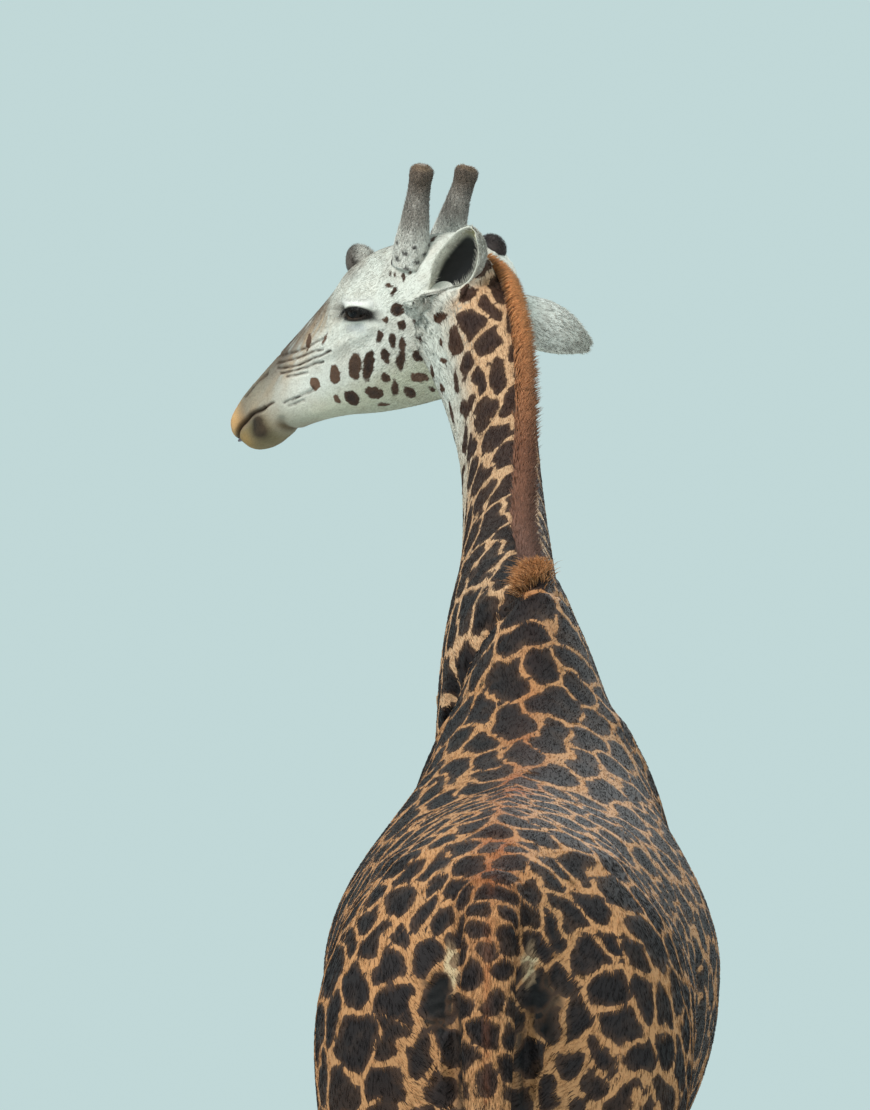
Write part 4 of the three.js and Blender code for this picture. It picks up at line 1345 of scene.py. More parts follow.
        # painted shade: dark lines along the creases of the wrinkles
        wrinkle_shade = bell(np.min([item.distance(head) for item in WRINKLES], 0), 0.0024)
        out, up, r = LIDS.spot(head)
        close = 1 - ramp(r, 0.038, 0.056)
        rim = np.where(up > 0, 1 - ramp(out, 1.12, 1.3), 1 - ramp(out, 1.3, 1.75))
        above, under = (up > 0.002) * close, (up < -0.002) * close
        return painted(
            plain(len(x), 224, 225, 216),
            # the underside of the head: its own yellowish olive, with painted shade that darkens it the lower
            # it lies
            ((180, 178, 138), ramp(-z - 0.22 * (0.5 - x), 0.02, 0.1) * 0.55),
            ((78, 66, 60), bridge * (0.9 + 0.45 * streak)),
            ((200, 178, 152), beside * (0.5 + 0.5 * streak)),
            ((66, 58, 54), ramp(x, 0.46, 0.6) * (1 - ramp(below, 0.022, 0.056)) * 0.92),
            ((128, 124, 118), bell(x - 0.605, 0.05) * bell(below - 0.045, 0.03) * 0.6),
            ((150, 142, 124), ramp(x, 0.54, 0.66) * 0.72),
            ((218, 172, 118), ramp(x, 0.69, 0.745) * ramp(z, 0.0, 0.012)),
            ((120, 88, 56), bell(mouth, 0.012) * ramp(x, 0.66, 0.7) * 0.7),
            ((140, 126, 92), ramp(x, 0.64, 0.69) * ramp(-z, -0.006, 0.01) * 0.95),
            ((190, 150, 88), bell(x - 0.748, 0.022) * bell(z + 0.024, 0.022) * 0.8),
            ((38, 38, 34), chin * 1.05),
            # painted shade: brown along the crease behind the chin
            ((96, 78, 52), bell(x - 0.648, 0.009) * ramp(-z, 0.026, 0.044) * 0.8),
            # painted shade: a dark line in the crease between the lips
            ((34, 26, 20), bell(mouth, 0.0046) * 0.95),
            # painted shade: the dark slit of the nostril, in its groove
            ((46, 40, 38), bell(NOSTRIL.distance(head), 0.0048) * 0.9),
            ((58, 50, 46), wrinkle_shade * (0.74 + 0.5 * streak)),
            ((26, 24, 25), rim * close),
            ((232, 230, 226), bell(out - 1.62, 0.24) * above),
            ((150, 146, 130), bell(out - 2.3, 0.2) * above * 0.8),
            ((178, 182, 184), bell(out - 2.05, 0.22) * under * 0.7),
            ((30, 30, 30), bell(np.hypot(x - 0.341, z - 0.066), 0.0105) * (y > 0.05) * 1.1),
            ((120, 112, 106), bell(np.hypot(x - 0.296, z - 0.15), 0.042) * (0.6 + 0.3 * streak)),
            ((156, 152, 146), ramp(z, 0.055, 0.105) * bell(x - 0.14, 0.07) * 0.65 * (1 + streak)))


def nearest(at: Array, seeds: Array, count: int) -> tuple[Array, Array]:
    """Finds the nearest seeds of points, and how far each point is inside its own seed's patch.

    Args:
        at: Points in the pattern's space.
        seeds: Seeds in the same space.
        count: How many seeds are looked at beside the nearest, or 1 for the nearest alone.

    Returns:
        The seeds' numbers, nearest first, and a soft least of the distances to the planes midway between
        the nearest seed and each other one: -log(sum(exp(-k d))) / k.
    """
    owner = np.empty((len(at), count), int)
    edge = np.zeros(len(at))
    sharp = 260.0  # k, per metre
    taken = 8000  # points at a time
    squares = (seeds ** 2).sum(1)
    for start in range(0, len(at), taken):
        part = slice(start, start + taken)
        q = at[part]
        far = squares[None] - 2 * q @ seeds.T
        if count == 1:
            owner[part] = np.argmin(far, 1)[:, None]
            continue
        few = np.argpartition(far, count, 1)[:, :count]
        few = np.take_along_axis(few, np.argsort(np.take_along_axis(far, few, 1), 1), 1)
        owner[part] = few
        d = np.take_along_axis(far, few, 1)
        apart = np.linalg.norm(seeds[few[:, 1:]] - seeds[few[:, :1]], axis=2)
        midway = (d[:, 1:] - d[:, :1]) / (2 * np.maximum(apart, 1e-6))
        least = midway.min(1)
        edge[part] = least - np.log(np.exp(-sharp * (midway - least[:, None])).sum(1)) / sharp
    return owner, edge


# Skin --------------------------------------------------------

@dataclass
class Surface:
    """The finished skin as arrays, for what is rooted on it."""

    points: Array
    faces: Array
    normals: Array
    area: Array
    region: Region


@dataclass
class Skin:
    """One skin over the trunk, neck, head, legs and tail."""

    voxel: float = 0.0179
    body: Body = field(default_factory=Body)

    def build(self) -> Surface:
        """Remeshes the joined tubes, makes the head finer, settles it on the field and carves it.

        Returns:
            The finished skin.
        """
        points, faces = self.body.shells()
        rough = make_mesh("rough", points, faces)
        remesh = rough.modifiers.new("remesh", "REMESH")
        remesh.mode = "VOXEL"
        remesh.voxel_size = self.voxel
        depsgraph = bpy.context.evaluated_depsgraph_get()
        dense = bpy.data.meshes.new_from_object(rough.evaluated_get(depsgraph))
        bpy.data.objects.remove(rough)
        LOG.info("remeshed to %d faces", len(dense.polygons))
        for chosen in (self.on_throat, self.on_head, self.on_face):
            self.refine(dense, chosen)
        points, faces = read_mesh(dense)
        bpy.data.meshes.remove(dense)
        points = self.body.settle(points, 2)
        region = self.body.read(points)
        normals, _ = vertex_normals(points, faces)
        relief = Relief()
        points = points + normals * relief.body(region)[:, None]
        head = HEAD_FRAME.into(points)
        on = region.weight["head"] > 0.05
        share = ramp(region.weight["head"], 0.05, 0.55)[on]
        turned_in = normals[on] * (relief.head(head[on]) * share)[:, None]
        head[on] += turned_in @ HEAD_FRAME.axes().T
        left = head[:, 1] >= 0
        folded = both_sides(head, 1)
        eyed = on & (np.linalg.norm(folded - EYE_AT, axis=1) < 0.075)
        carved = LIDS.carve(folded[eyed])
        carved[:, 1] *= np.where(left[eyed], 1, -1)
        head[eyed] = carved
        for ear in EARS:
            head = ear.clear(head)
        points = HEAD_FRAME.out(head)
        normals, area = vertex_normals(points, faces)
        return Surface(points, faces, normals, area, self.body.read(points))

    def align(self, surface: Surface, markings: Markings) -> Surface:
        """Slides the points of a surface onto the lines of its markings."""
        points = markings.align(surface)
        normals, area = vertex_normals(points, surface.faces)
        return Surface(points, surface.faces, normals, area, self.body.read(points))

    def on_throat(self, p: Array) -> Array:
        """Points of the head, of the folded upper neck, and round the tail's root."""
        fit = self.body.tubes["neck"].fit(p)
        upper = (fit.share > 0.68) & (fit.outside < 0.03) & (p[:, 2] > 3.1)
        tail = np.linalg.norm((p - [0, -0.06, 2.1]) / [0.13, 0.12, 0.22], axis=1) < 1
        return self.on_head(p) | upper | tail

    def on_head(self, p: Array) -> Array:
        """Points of the head."""
        head = HEAD_FRAME.into(p)
        return (head[:, 0] > 0.0) & (self.body.tubes["head"].fit(p).outside < 0.03)

    def on_face(self, p: Array) -> Array:
        """Points round the eyes, the nostrils and the lips, and along the wrinkles between them."""
        x, y, z = both_sides(HEAD_FRAME.into(p), 1).T
        eye = np.linalg.norm(np.stack([x, y, z], 1) - EYE_AT, axis=1) < 0.05
        lips = (x > 0.62) & (np.abs(z - 0.002) < 0.034)
        folds = (x > 0.43) & (x <= 0.6) & (y > 0.035) & (np.abs(z - 0.034) < 0.05)
        return (eye | lips | folds) & self.on_head(p)

    def refine(self, mesh: bpy.types.Mesh, chosen: Callable[[Array], Array]) -> None:
        """Halves the edges whose ends are both chosen, and cuts the faces between them into a grid.

        Args:
            mesh: The mesh, which is changed.
            chosen: Tells which points are chosen.
        """
        points, _ = read_mesh(mesh)
        on = chosen(points)
        grid = bmesh.new()
        grid.from_mesh(mesh)
        grid.verts.ensure_lookup_table()
        edges = [e for e in grid.edges if on[e.verts[0].index] and on[e.verts[1].index]]
        bmesh.ops.subdivide_edges(grid, edges=edges, cuts=1, use_grid_fill=True)
        bmesh.ops.triangulate(grid, faces=[f for f in grid.faces if len(f.verts) > 4])
        grid.to_mesh(mesh)
        grid.free()


# Shaders -----------------------------------------------------

class Wire:
    """An output socket on which the arithmetic operators add Math nodes."""

    def __init__(self, graph: "Graph", socket: bpy.types.NodeSocket) -> None:
        """Wraps a socket of a graph."""
        self.graph = graph
        self.socket = socket

    def math(self, operation: str, first: object, second: object = 0.0) -> "Wire":
        """Adds a Math node for an operation on two values."""
        return self.graph.add("Math", {"operation": operation}, {0: first, 1: second})

    def __add__(self, other: object) -> "Wire":
        """self + other."""
        return self.math("ADD", self, other)

    def __radd__(self, other: object) -> "Wire":
        """other + self."""
        return self.math("ADD", other, self)

    def __sub__(self, other: object) -> "Wire":
        """self - other."""
        return self.math("SUBTRACT", self, other)

    def __rsub__(self, other: object) -> "Wire":
        """other - self."""
        return self.math("SUBTRACT", other, self)

    def __mul__(self, other: object) -> "Wire":
        """self * other."""
        return self.math("MULTIPLY", self, other)

    def __rmul__(self, other: object) -> "Wire":
        """other * self."""
        return self.math("MULTIPLY", other, self)


class Graph:
    """The nodes of one material."""

    def __init__(self, name: str) -> None:
        """Makes an empty material."""
        self.material = bpy.data.materials.new(name)
        self.material.use_nodes = True
        self.tree = self.material.node_tree
        self.tree.nodes.clear()

    def add(self, kind: str, settings: Optional[dict] = None, values: Optional[dict] = None,
            out: object = 0) -> Wire:
        """Adds a node.

        Args:
            kind: Its type, without the leading ShaderNode.
            settings: Its own settings, which are made first.
            values: A number, a colour or a Wire for each input socket, by name or by number.
            out: The output socket, by name or by number.

        Returns:
            The output as a Wire.
        """
        node = self.tree.nodes.new("ShaderNode" + kind)
        for key, value in (settings or {}).items():
            setattr(node, key, value)
        for key, value in (values or {}).items():
            if isinstance(value, Wire):
                self.tree.links.new(value.socket, node.inputs[key])
            else:
                node.inputs[key].default_value = value
        return Wire(self, node.outputs[out])

    def number(self, name: str) -> Wire:
        """A number stored on the vertices."""
        return self.add("Attribute", {"attribute_name": name}, out="Fac")

    def colour(self, name: str) -> Wire:
        """A colour stored on the vertices."""
        return self.add("Attribute", {"attribute_name": name}, out="Color")

    def place(self, stretch: Sequence[float] = (1, 1, 1)) -> Wire:
        """Object coordinates, stretched along the axes."""
        at = self.add("TexCoord", out="Object")
        return self.add("Mapping", values={"Vector": at, "Scale": stretch})

    def noise(self, at: Wire, scale: float, detail: float = 3.0) -> Wire:
        """Noise from about 0 to 1 at a number of cells per metre."""
        return self.add("TexNoise", values={"Vector": at, "Scale": scale, "Detail": detail})

    def step(self, value: Wire, low: float, high: float) -> Wire:
        """A smooth step of a value from 0 to 1."""
        return self.add("MapRange", {"interpolation_type": "SMOOTHSTEP"}, {0: value, 1: low, 2: high})

    def mix(self, share: object, first: object, second: object, blend: str = "MIX") -> Wire:
        """Mixes two colours."""
        settings = {"data_type": "RGBA", "blend_type": blend}
        return self.add("Mix", settings, {0: share, 6: first, 7: second}, out=2)

    def bump(self, height: Wire, depth: float, strength: float, under: Optional[Wire] = None) -> Wire:
        """A bump of a height from 0 to 1, over another one if there is one.

        Args:
            height: The height, from 0 to 1.
            depth: What a height of 1 stands for, in metres.
            strength: The bump's strength.
            under: The normal of a bump under this one.

        Returns:
            The normal.
        """
        values = {"Height": height, "Distance": depth, "Strength": strength}
        if under:
            values["Normal"] = under
        return self.add("Bump", values=values)

    def finish(self, values: dict) -> bpy.types.Material:
        """Ends in a Principled shader with those inputs."""
        shader = self.add("BsdfPrincipled", values=values)
        end = self.tree.nodes.new("ShaderNodeOutputMaterial")
        self.tree.links.new(shader.socket, end.inputs["Surface"])
        return self.material


class Slot(Enum):
    """The names of the part's material slots."""

    COAT = "coat"
    PALE = "pale_coat"
    EAR = "ear_skin"
    MANE = "mane_hair"
    TAIL = "tail_hair"
    HORN = "horn_skin"
    HOOF = "hoof"
    EYE = "eye"
    TONGUE = "tongue"


@dataclass(frozen=True)
class PatchFinish:
    """Short fur in patches: two colours from the vertices, parted along the ragged edge of the patches."""

    name: str
    ragged: float = 0.006  # how far the edge wanders, metres
    soft: float = 0.0016  # half the edge's width
    bump: float = 0.55
    roughness: float = 0.66
    rooted: bool = False  # whether the pattern is read at each tuft's root

    def make(self) -> bpy.types.Material:
        """Builds the material."""
        g = Graph(self.name)
        at = g.add("Attribute", {"attribute_name": "root"}, out="Vector") if self.rooted else g.place()
        edge = g.number("patch") + (g.noise(at, 115.0, 4.0) - 0.5) * self.ragged
        edge = edge + (g.noise(at, 420.0, 2.0) - 0.5) * (0.5 * self.ragged)
        mask = g.step(edge, -self.soft, self.soft)
        rim = 1.0 - g.step(edge, 0.0, 0.014)
        broad = g.noise(at, 16.0, 4.0)
        fine = g.noise(at, 300.0, 3.0)
        blotch = g.mix(rim * 0.42, g.colour("blotch"), (0.115, 0.055, 0.028, 1))
        blotch = g.mix(g.step(broad, 0.45, 0.75) * 0.35, blotch, (0.085, 0.048, 0.03, 1))
        ground = g.mix(g.step(broad, 0.35, 0.7) * 0.2, g.colour("ground"), (0.33, 0.19, 0.1, 1))
        colour = g.mix(mask, ground, blotch)
        if self.rooted:
            # the tone holds each tuft's random tone, with painted shade at the root and painted light at the
            # tip
            colour = g.mix(1.0, colour, g.colour("tone"), "MULTIPLY")
            at = g.place()
        colour = g.mix(g.step(fine, 0.34, 0.66) * 0.3, colour, (0.5, 0.5, 0.5, 1), "SOFT_LIGHT")
        colour = g.mix((1.0 - g.step(fine, 0.3, 0.62)) * 0.28, colour, (0.4, 0.36, 0.33, 1), "MULTIPLY")
        relief = g.bump(g.noise(at, 520.0, 2.0), 0.0014, self.bump)
        relief = g.bump(broad, 0.006, 0.2, relief)
        rough = g.step(fine, 0.2, 0.8) * 0.14 + (self.roughness - 0.07)
        return g.finish({"Base Color": colour, "Roughness": rough, "Normal": relief,
                         "Specular IOR Level": 0.22})


@dataclass(frozen=True)
class HairFinish:
    """Hair, horn or bare skin: the vertices' tint, varied by noise that may be stretched along an axis."""

    name: str
    roughness: float = 0.6
    stretch: tuple = (1.0, 1.0, 1.0)
    pitch: float = 260.0  # cells of the noise per metre
    dark: tuple = (0.3, 0.24, 0.2, 1.0)  # what the noise multiplies the tint by
    share: float = 0.45
    depth: float = 0.001
    sheen: float = 0.08
    coat: float = 0.0

    def make(self) -> bpy.types.Material:
        """Builds the material."""
        g = Graph(self.name)
        at = g.place(self.stretch)
        fine = g.noise(at, self.pitch, 4.0)
        broad = g.noise(at, self.pitch / 9, 3.0)
        colour = g.mix((1.0 - g.step(fine, 0.3, 0.64)) * self.share, g.colour("tint"), self.dark, "MULTIPLY")
        colour = g.mix((1.0 - g.step(broad, 0.34, 0.6)) * self.share * 0.6, colour, self.dark, "MULTIPLY")
        rough = g.step(fine, 0.2, 0.8) * 0.16 + (self.roughness - 0.08)
        return g.finish({"Base Color": colour, "Roughness": rough, "Coat Weight": self.coat,
                         "Normal": g.bump(fine, self.depth, 0.5), "Sheen Weight": self.sheen,
                         "Sheen Roughness": 0.45, "Specular IOR Level": 0.35})


@dataclass(frozen=True)
class EyeFinish:
    """A wet eye: a dark iris with fine spokes round a level pupil, from the vertices' own eye map."""

    name: str = "wet_eye"

    def make(self) -> bpy.types.Material:
        """Builds the material."""
        g = Graph(self.name)
        spokes = g.noise(g.add("Attribute", {"attribute_name": "spokes"}, out="Vector"), 9.0, 3.0)
        out = g.number("iris")
        iris = g.mix(g.step(spokes, 0.35, 0.65), (0.006, 0.004, 0.003, 1), (0.017, 0.01, 0.007, 1))
        limbus = g.mix(g.step(out, 0.78, 0.97), iris, (0.005, 0.004, 0.004, 1))
        white = g.mix(g.step(out, 1.0, 1.2), limbus, (0.018, 0.014, 0.013, 1))
        colour = g.mix(g.step(g.number("pupil"), 0.9, 1.08), (0.002, 0.002, 0.003, 1), white)
        rough = g.step(out, 0.9, 1.3) * 0.16 + 0.04
        return g.finish({"Base Color": colour, "Roughness": rough, "Coat Weight": 0.14,
                         "Coat Roughness": 0.03, "Specular IOR Level": 0.14})


@dataclass(frozen=True)
class FloorFinish:
    """A plain pale floor with a trace of grain."""

    name: str = "pale_floor"
    tone: tuple = (0.5, 0.52, 0.52, 1.0)

    def make(self) -> bpy.types.Material:
        """Builds the material."""
        g = Graph(self.name)
        grain = g.noise(g.place(), 3.0, 4.0)
        tone = g.mix(g.step(grain, 0.3, 0.7) * 0.06, self.tone, (0.42, 0.43, 0.43, 1))
        return g.finish({"Base Color": tone, "Roughness": 0.75})


def triangles(made: bpy.types.Object) -> int:
    """How many triangles a piece has."""
    made.data.calc_loop_triangles()
    return len(made.data.loop_triangles)


def dress(made: bpy.types.Object, material: bpy.types.Material, slot: Slot, *nodes: str) -> None:
    """Gives a piece its material and body, and hides the nodes it stands for.

    Args:
        made: The piece.
        material: Its material.
        slot: Its slot; not used.
        nodes: The nodes that it hides.
    """
    made.data.materials.append(material)
    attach(made, BODY)
    if nodes:
        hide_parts(*nodes)
    LOG.info("%s: %d triangles", made.name, triangles(made))


# Locks of hair -----------------------------------------------

CHART_PATCH = 0.0015  # half the width of a lock's own patch on the map OFBake


@dataclass
class Locks:
    """Many thin tapered locks: a root, a way out, a length, a width and a bend for each."""

    root: Array
    way: Array
    length: Array
    width: Array
    bend: Array  # added along the length: bend * share^2
    tint: Array
    chart: Array  # the root's place on a flat map of the surface, from 0 to 1
    rows: int = 3  # stations between root and tip
    sides: int = 3

    def mesh(self, sink: float = 0.0) -> tuple[Array, Array, Array]:
        """Closed locks: a small polygon at the root and each row, and a point at the tip.

        Args:
            sink: How far the root lies below the surface.

        Returns:
            Points, triangles and the tint of each point.
        """
        n = len(self.root)
        rough = np.where(np.abs(self.way[:, 2:]) > 0.9, [[1.0, 0, 0]], [[0, 0, 1.0]])
        side = unit(np.cross(self.way, rough))
        other = np.cross(self.way, side)
        turn = np.random.default_rng(n).uniform(0, 6.3, n)[:, None]
        side, other = side * np.cos(turn) + other * np.sin(turn), other * np.cos(turn) - side * np.sin(turn)
        share = np.arange(self.rows) / self.rows
        along = self.length[:, None] * share - sink * (share == 0)
        centre = self.root[:, None] + along[..., None] * self.way[:, None]
        centre = centre + (share ** 2)[None, :, None] * self.bend[:, None]
        wide = self.width[:, None] * 0.5 * (1 - 0.75 * share ** 1.6) * np.where(share == 0, 0.8, 1)
        angle = np.arange(self.sides) / self.sides * 2 * np.pi
        ring = np.cos(angle)[None, :, None] * side[:, None] + np.sin(angle)[None, :, None] * other[:, None]
        rings = centre[:, :, None] + wide[..., None, None] * ring[:, None]
        tip = self.root + self.length[:, None] * self.way + self.bend
        points = np.concatenate([rings.reshape(n, -1, 3), tip[:, None]], 1)
        per = self.rows * self.sides + 1
        faces = self.pattern()[None] + (np.arange(n) * per)[:, None, None]
        # painted shade and light: each lock is darker at its root, among the others, and lighter at its tip
        painted_root_shade = np.concatenate([np.repeat(0.72 + 0.28 * share, self.sides), [1.12]])
        tint = self.tint[:, None] * painted_root_shade[None, :, None]
        return points.reshape(-1, 3), faces.reshape(-1, 3), tint.reshape(-1, 3)

    def corners(self) -> int:
        """How many points one lock has."""
        return self.rows * self.sides + 1

    def spread(self, mesh: bpy.types.Mesh) -> None:
        """Stores the flat map OFBake, on which each lock is a small patch at its root's place.

        Args:
            mesh: The mesh to write to.
        """
        turn = np.arange(self.corners()) * 2.4
        around = CHART_PATCH * np.stack([np.cos(turn), np.sin(turn)], 1)
        flat = (self.chart[:, None] * (1 - 4 * CHART_PATCH) + 2 * CHART_PATCH + around[None]).reshape(-1, 2)
        corner = np.empty(len(mesh.loops), np.int32)
        mesh.loops.foreach_get("vertex_index", corner)
        layer = mesh.uv_layers.new(name="OFBake")
        layer.data.foreach_set("uv", flat[corner].astype(np.float32).ravel())

    def pattern(self) -> Array:
        """The triangles of one lock: the walls, the tip and the closed root."""
        made = []
        for r in range(self.rows):
            for k in range(self.sides):
                a, b = r * self.sides + k, r * self.sides + (k + 1) % self.sides
                if r == self.rows - 1:
                    made.append((a, b, self.rows * self.sides))
                else:
                    made += [(a, b, b + self.sides), (a, b + self.sides, a + self.sides)]
        made += [(0, k + 1, k) for k in range(1, self.sides - 1)]
        return np.array(made)


def scattered(surface: Surface, weight: Array, count: int, draw: np.random.Generator) -> tuple[Array, Array]:
    """Draws roots over the skin's triangles.

    Args:
        surface: The skin.
        weight: How dense the roots are at each vertex.
        count: How many there are.
        draw: The random numbers.

    Returns:
        The roots and their normals.
    """
    corner = surface.points[surface.faces]
    area = np.linalg.norm(np.cross(corner[:, 1] - corner[:, 0], corner[:, 2] - corner[:, 0]), axis=1)
    chance = area * weight[surface.faces].mean(1)
    chosen = draw.choice(len(area), count, p=chance / chance.sum())
    a, b = draw.uniform(0, 1, (2, count))
    a, b = np.where(a + b > 1, 1 - a, a), np.where(a + b > 1, 1 - b, b)
    shares = np.stack([1 - a - b, a, b], 1)
    face = surface.faces[chosen]
    root = (surface.points[face] * shares[..., None]).sum(1)
    return root, unit((surface.normals[face] * shares[..., None]).sum(1))


def flow(body: Body, region: Region, normal: Array) -> Array:
    """The way the coat lies: from nose to tail along the body, down the legs, and a little downwards.

    Each tube's own direction is weighed by its share of the point, and the sum is laid on the surface.

    Args:
        body: The body.
        region: What is known of the points.
        normal: The skin's normals there.

    Returns:
        A unit vector along the skin for each point.
    """
    total = np.zeros_like(region.p)
    for name, tube in body.tubes.items():
        sign = 1 if name.startswith("leg") or name == "tail" else -1
        total += (sign * region.weight[name])[:, None] * tube.sections(region.fits[name].share).ahead
    total[:, 2] -= 0.35 * (1 - region.weight["head"] - 0.7 * region.weight["neck"])
    total -= normal * np.sum(total * normal, 1, keepdims=True)
    return unit(total)


@dataclass(frozen=True)
class CoatPiece:
    """One length of the coat: the tubes it covers, how many tufts it has, and their size."""

    name: str
    tubes: tuple
    count: int
    length: tuple
    width: float
    lift: float  # how far the tufts stand up, as a slope

    def build(self, kit: "Kit", surface: Surface, markings: Markings) -> None:
        """Roots the tufts on the skin and colours each from its root.

        Args:
            kit: The shared finishes and the body.
            surface: The skin.
            markings: The skin's markings.
        """
        draw = np.random.default_rng(self.count + len(self.name))
        share = sum(surface.region.weight[name] for name in self.tubes)
        root, normal = scattered(surface, self.dense(surface, share, markings), self.count, draw)
        region = kit.body.read(root)
        n = self.count
        lie = flow(kit.body, region, normal)
        aside = np.cross(normal, lie)
        way = unit(lie + normal * (self.lift * draw.uniform(0.5, 1.6, n))[:, None]
                   + aside * (0.16 * draw.normal(size=n))[:, None])
        length = draw.uniform(*self.length, n) * self.short(region)
        bend = -normal * (length * self.lift * 0.55)[:, None]
        width = self.width * draw.uniform(0.7, 1.3, n) * (0.45 + 0.55 * self.short(region))
        locks = Locks(root, way, length, width, bend, np.ones((n, 3)), self.chart(region), rows=1)
        points, faces, _ = locks.mesh(0.0012)
        made = make_mesh(self.name, points, faces)
        four = locks.corners()
        markings.read(region).repeated(four).store(made.data)
        set_attribute(made.data, "root", np.repeat(root - ORIGIN_SHIFT, four, 0))
        # tone: a random tone for each tuft, with painted shade at its root and painted light at its tip
        tone = draw.uniform(0.8, 1.16, (n, 1)) * np.array([0.9, 0.9, 0.9, 1.12])
        set_attribute(made.data, "tone", np.repeat(tone.reshape(-1, 1), 3, 1))
        locks.spread(made.data)
        dress(made, kit.tufts, Slot.COAT)

    def dense(self, surface: Surface, share: Array, markings: Markings) -> Array:
        """How dense the roots are: none on lips, lids and bare skin, and most on the front of the head.

        Args:
            surface: The skin.
            share: The share of the piece's tubes at each vertex.
            markings: The skin's markings.

        Returns:
            A density for each vertex.
        """
        place = HEAD_FRAME.into(surface.points)
        folded = both_sides(place, 1)
        head = surface.region.weight["head"] > 0.5
        lips = head & (bell(MOUTH.distance(folded), 0.004) > 0.3)
        nose = head & (bell(NOSTRIL.distance(folded), 0.005) > 0.3)
        out, _, r = LIDS.spot(folded)
        eye = head & (out < 1.75) & (r < 0.06)
        bare = markings.beside_tail(surface.region)[0] > 0.4
        for ear in EARS:
            high, inside = ear.hollow(place)
            bare |= (inside > 0.05) & (high > -0.012) & (high < 0.07)
        front = 1 + 2.5 * (head & (folded[:, 0] > 0.2))
        return ramp(share, 0.45, 0.55) * ~(lips | nose | eye | bare) * front + 1e-9

    def short(self, region: Region) -> Array:
        """How much of the full length is left: less on the muzzle, round the eyes and on the feet."""
        head = HEAD_FRAME.into(region.p)
        face = 1 - 0.55 * ramp(head[:, 0], 0.25, 0.62)
        face *= 1 - 0.45 * bell(np.linalg.norm(both_sides(head, 1) - EYE_AT, axis=1), 0.045)
        foot = 0.55 + 0.45 * ramp(region.p[:, 2], 0.2, 0.9)
        return np.where(region.weight["head"] > 0.5, face, foot)

    def chart(self, region: Region) -> Array:
        """The roots on a flat map of the skin: angle and share of the tube, side by side for two tubes.

        Args:
            region: What is known of the points.

        Returns:
            Two numbers from 0 to 1 for each point.
        """
        flat = np.zeros((len(region.p), 2))
        for k, name in enumerate(self.tubes):
            on = region.weight[name] >= np.max([region.weight[other] for other in self.tubes], 0) - 1e-12
            fit = region.fits[name]
            turn = np.mod(fit.angle / (2 * np.pi), 1)
            flat[on] = np.stack([(k + turn) / len(self.tubes), fit.share], 1)[on]
        return flat.clip(0, 1)


COAT = (
    CoatPiece("coat_trunk_1", ("trunk",), 49000, (0.01, 0.015), 0.0025, 0.13),
    CoatPiece("coat_trunk_2", ("trunk",), 49001, (0.01, 0.015), 0.0025, 0.13),
    CoatPiece("coat_neck", ("neck",), 49500, (0.01, 0.015), 0.0022, 0.14),
    CoatPiece("coat_head", ("head",), 49500, (0.0065, 0.009), 0.0013, 0.16),
    CoatPiece("coat_hind", ("leg_hind_right", "leg_hind_left"), 49000, (0.009, 0.014), 0.0024, 0.12),
    CoatPiece("coat_fore", ("leg_fore_right", "leg_fore_left"), 46000, (0.009, 0.013), 0.0023, 0.12),
    CoatPiece("coat_tail", ("tail",), 14000, (0.01, 0.015), 0.002, 0.14),
)


# Ears, horns, eyes, tongue and hooves ------------------------

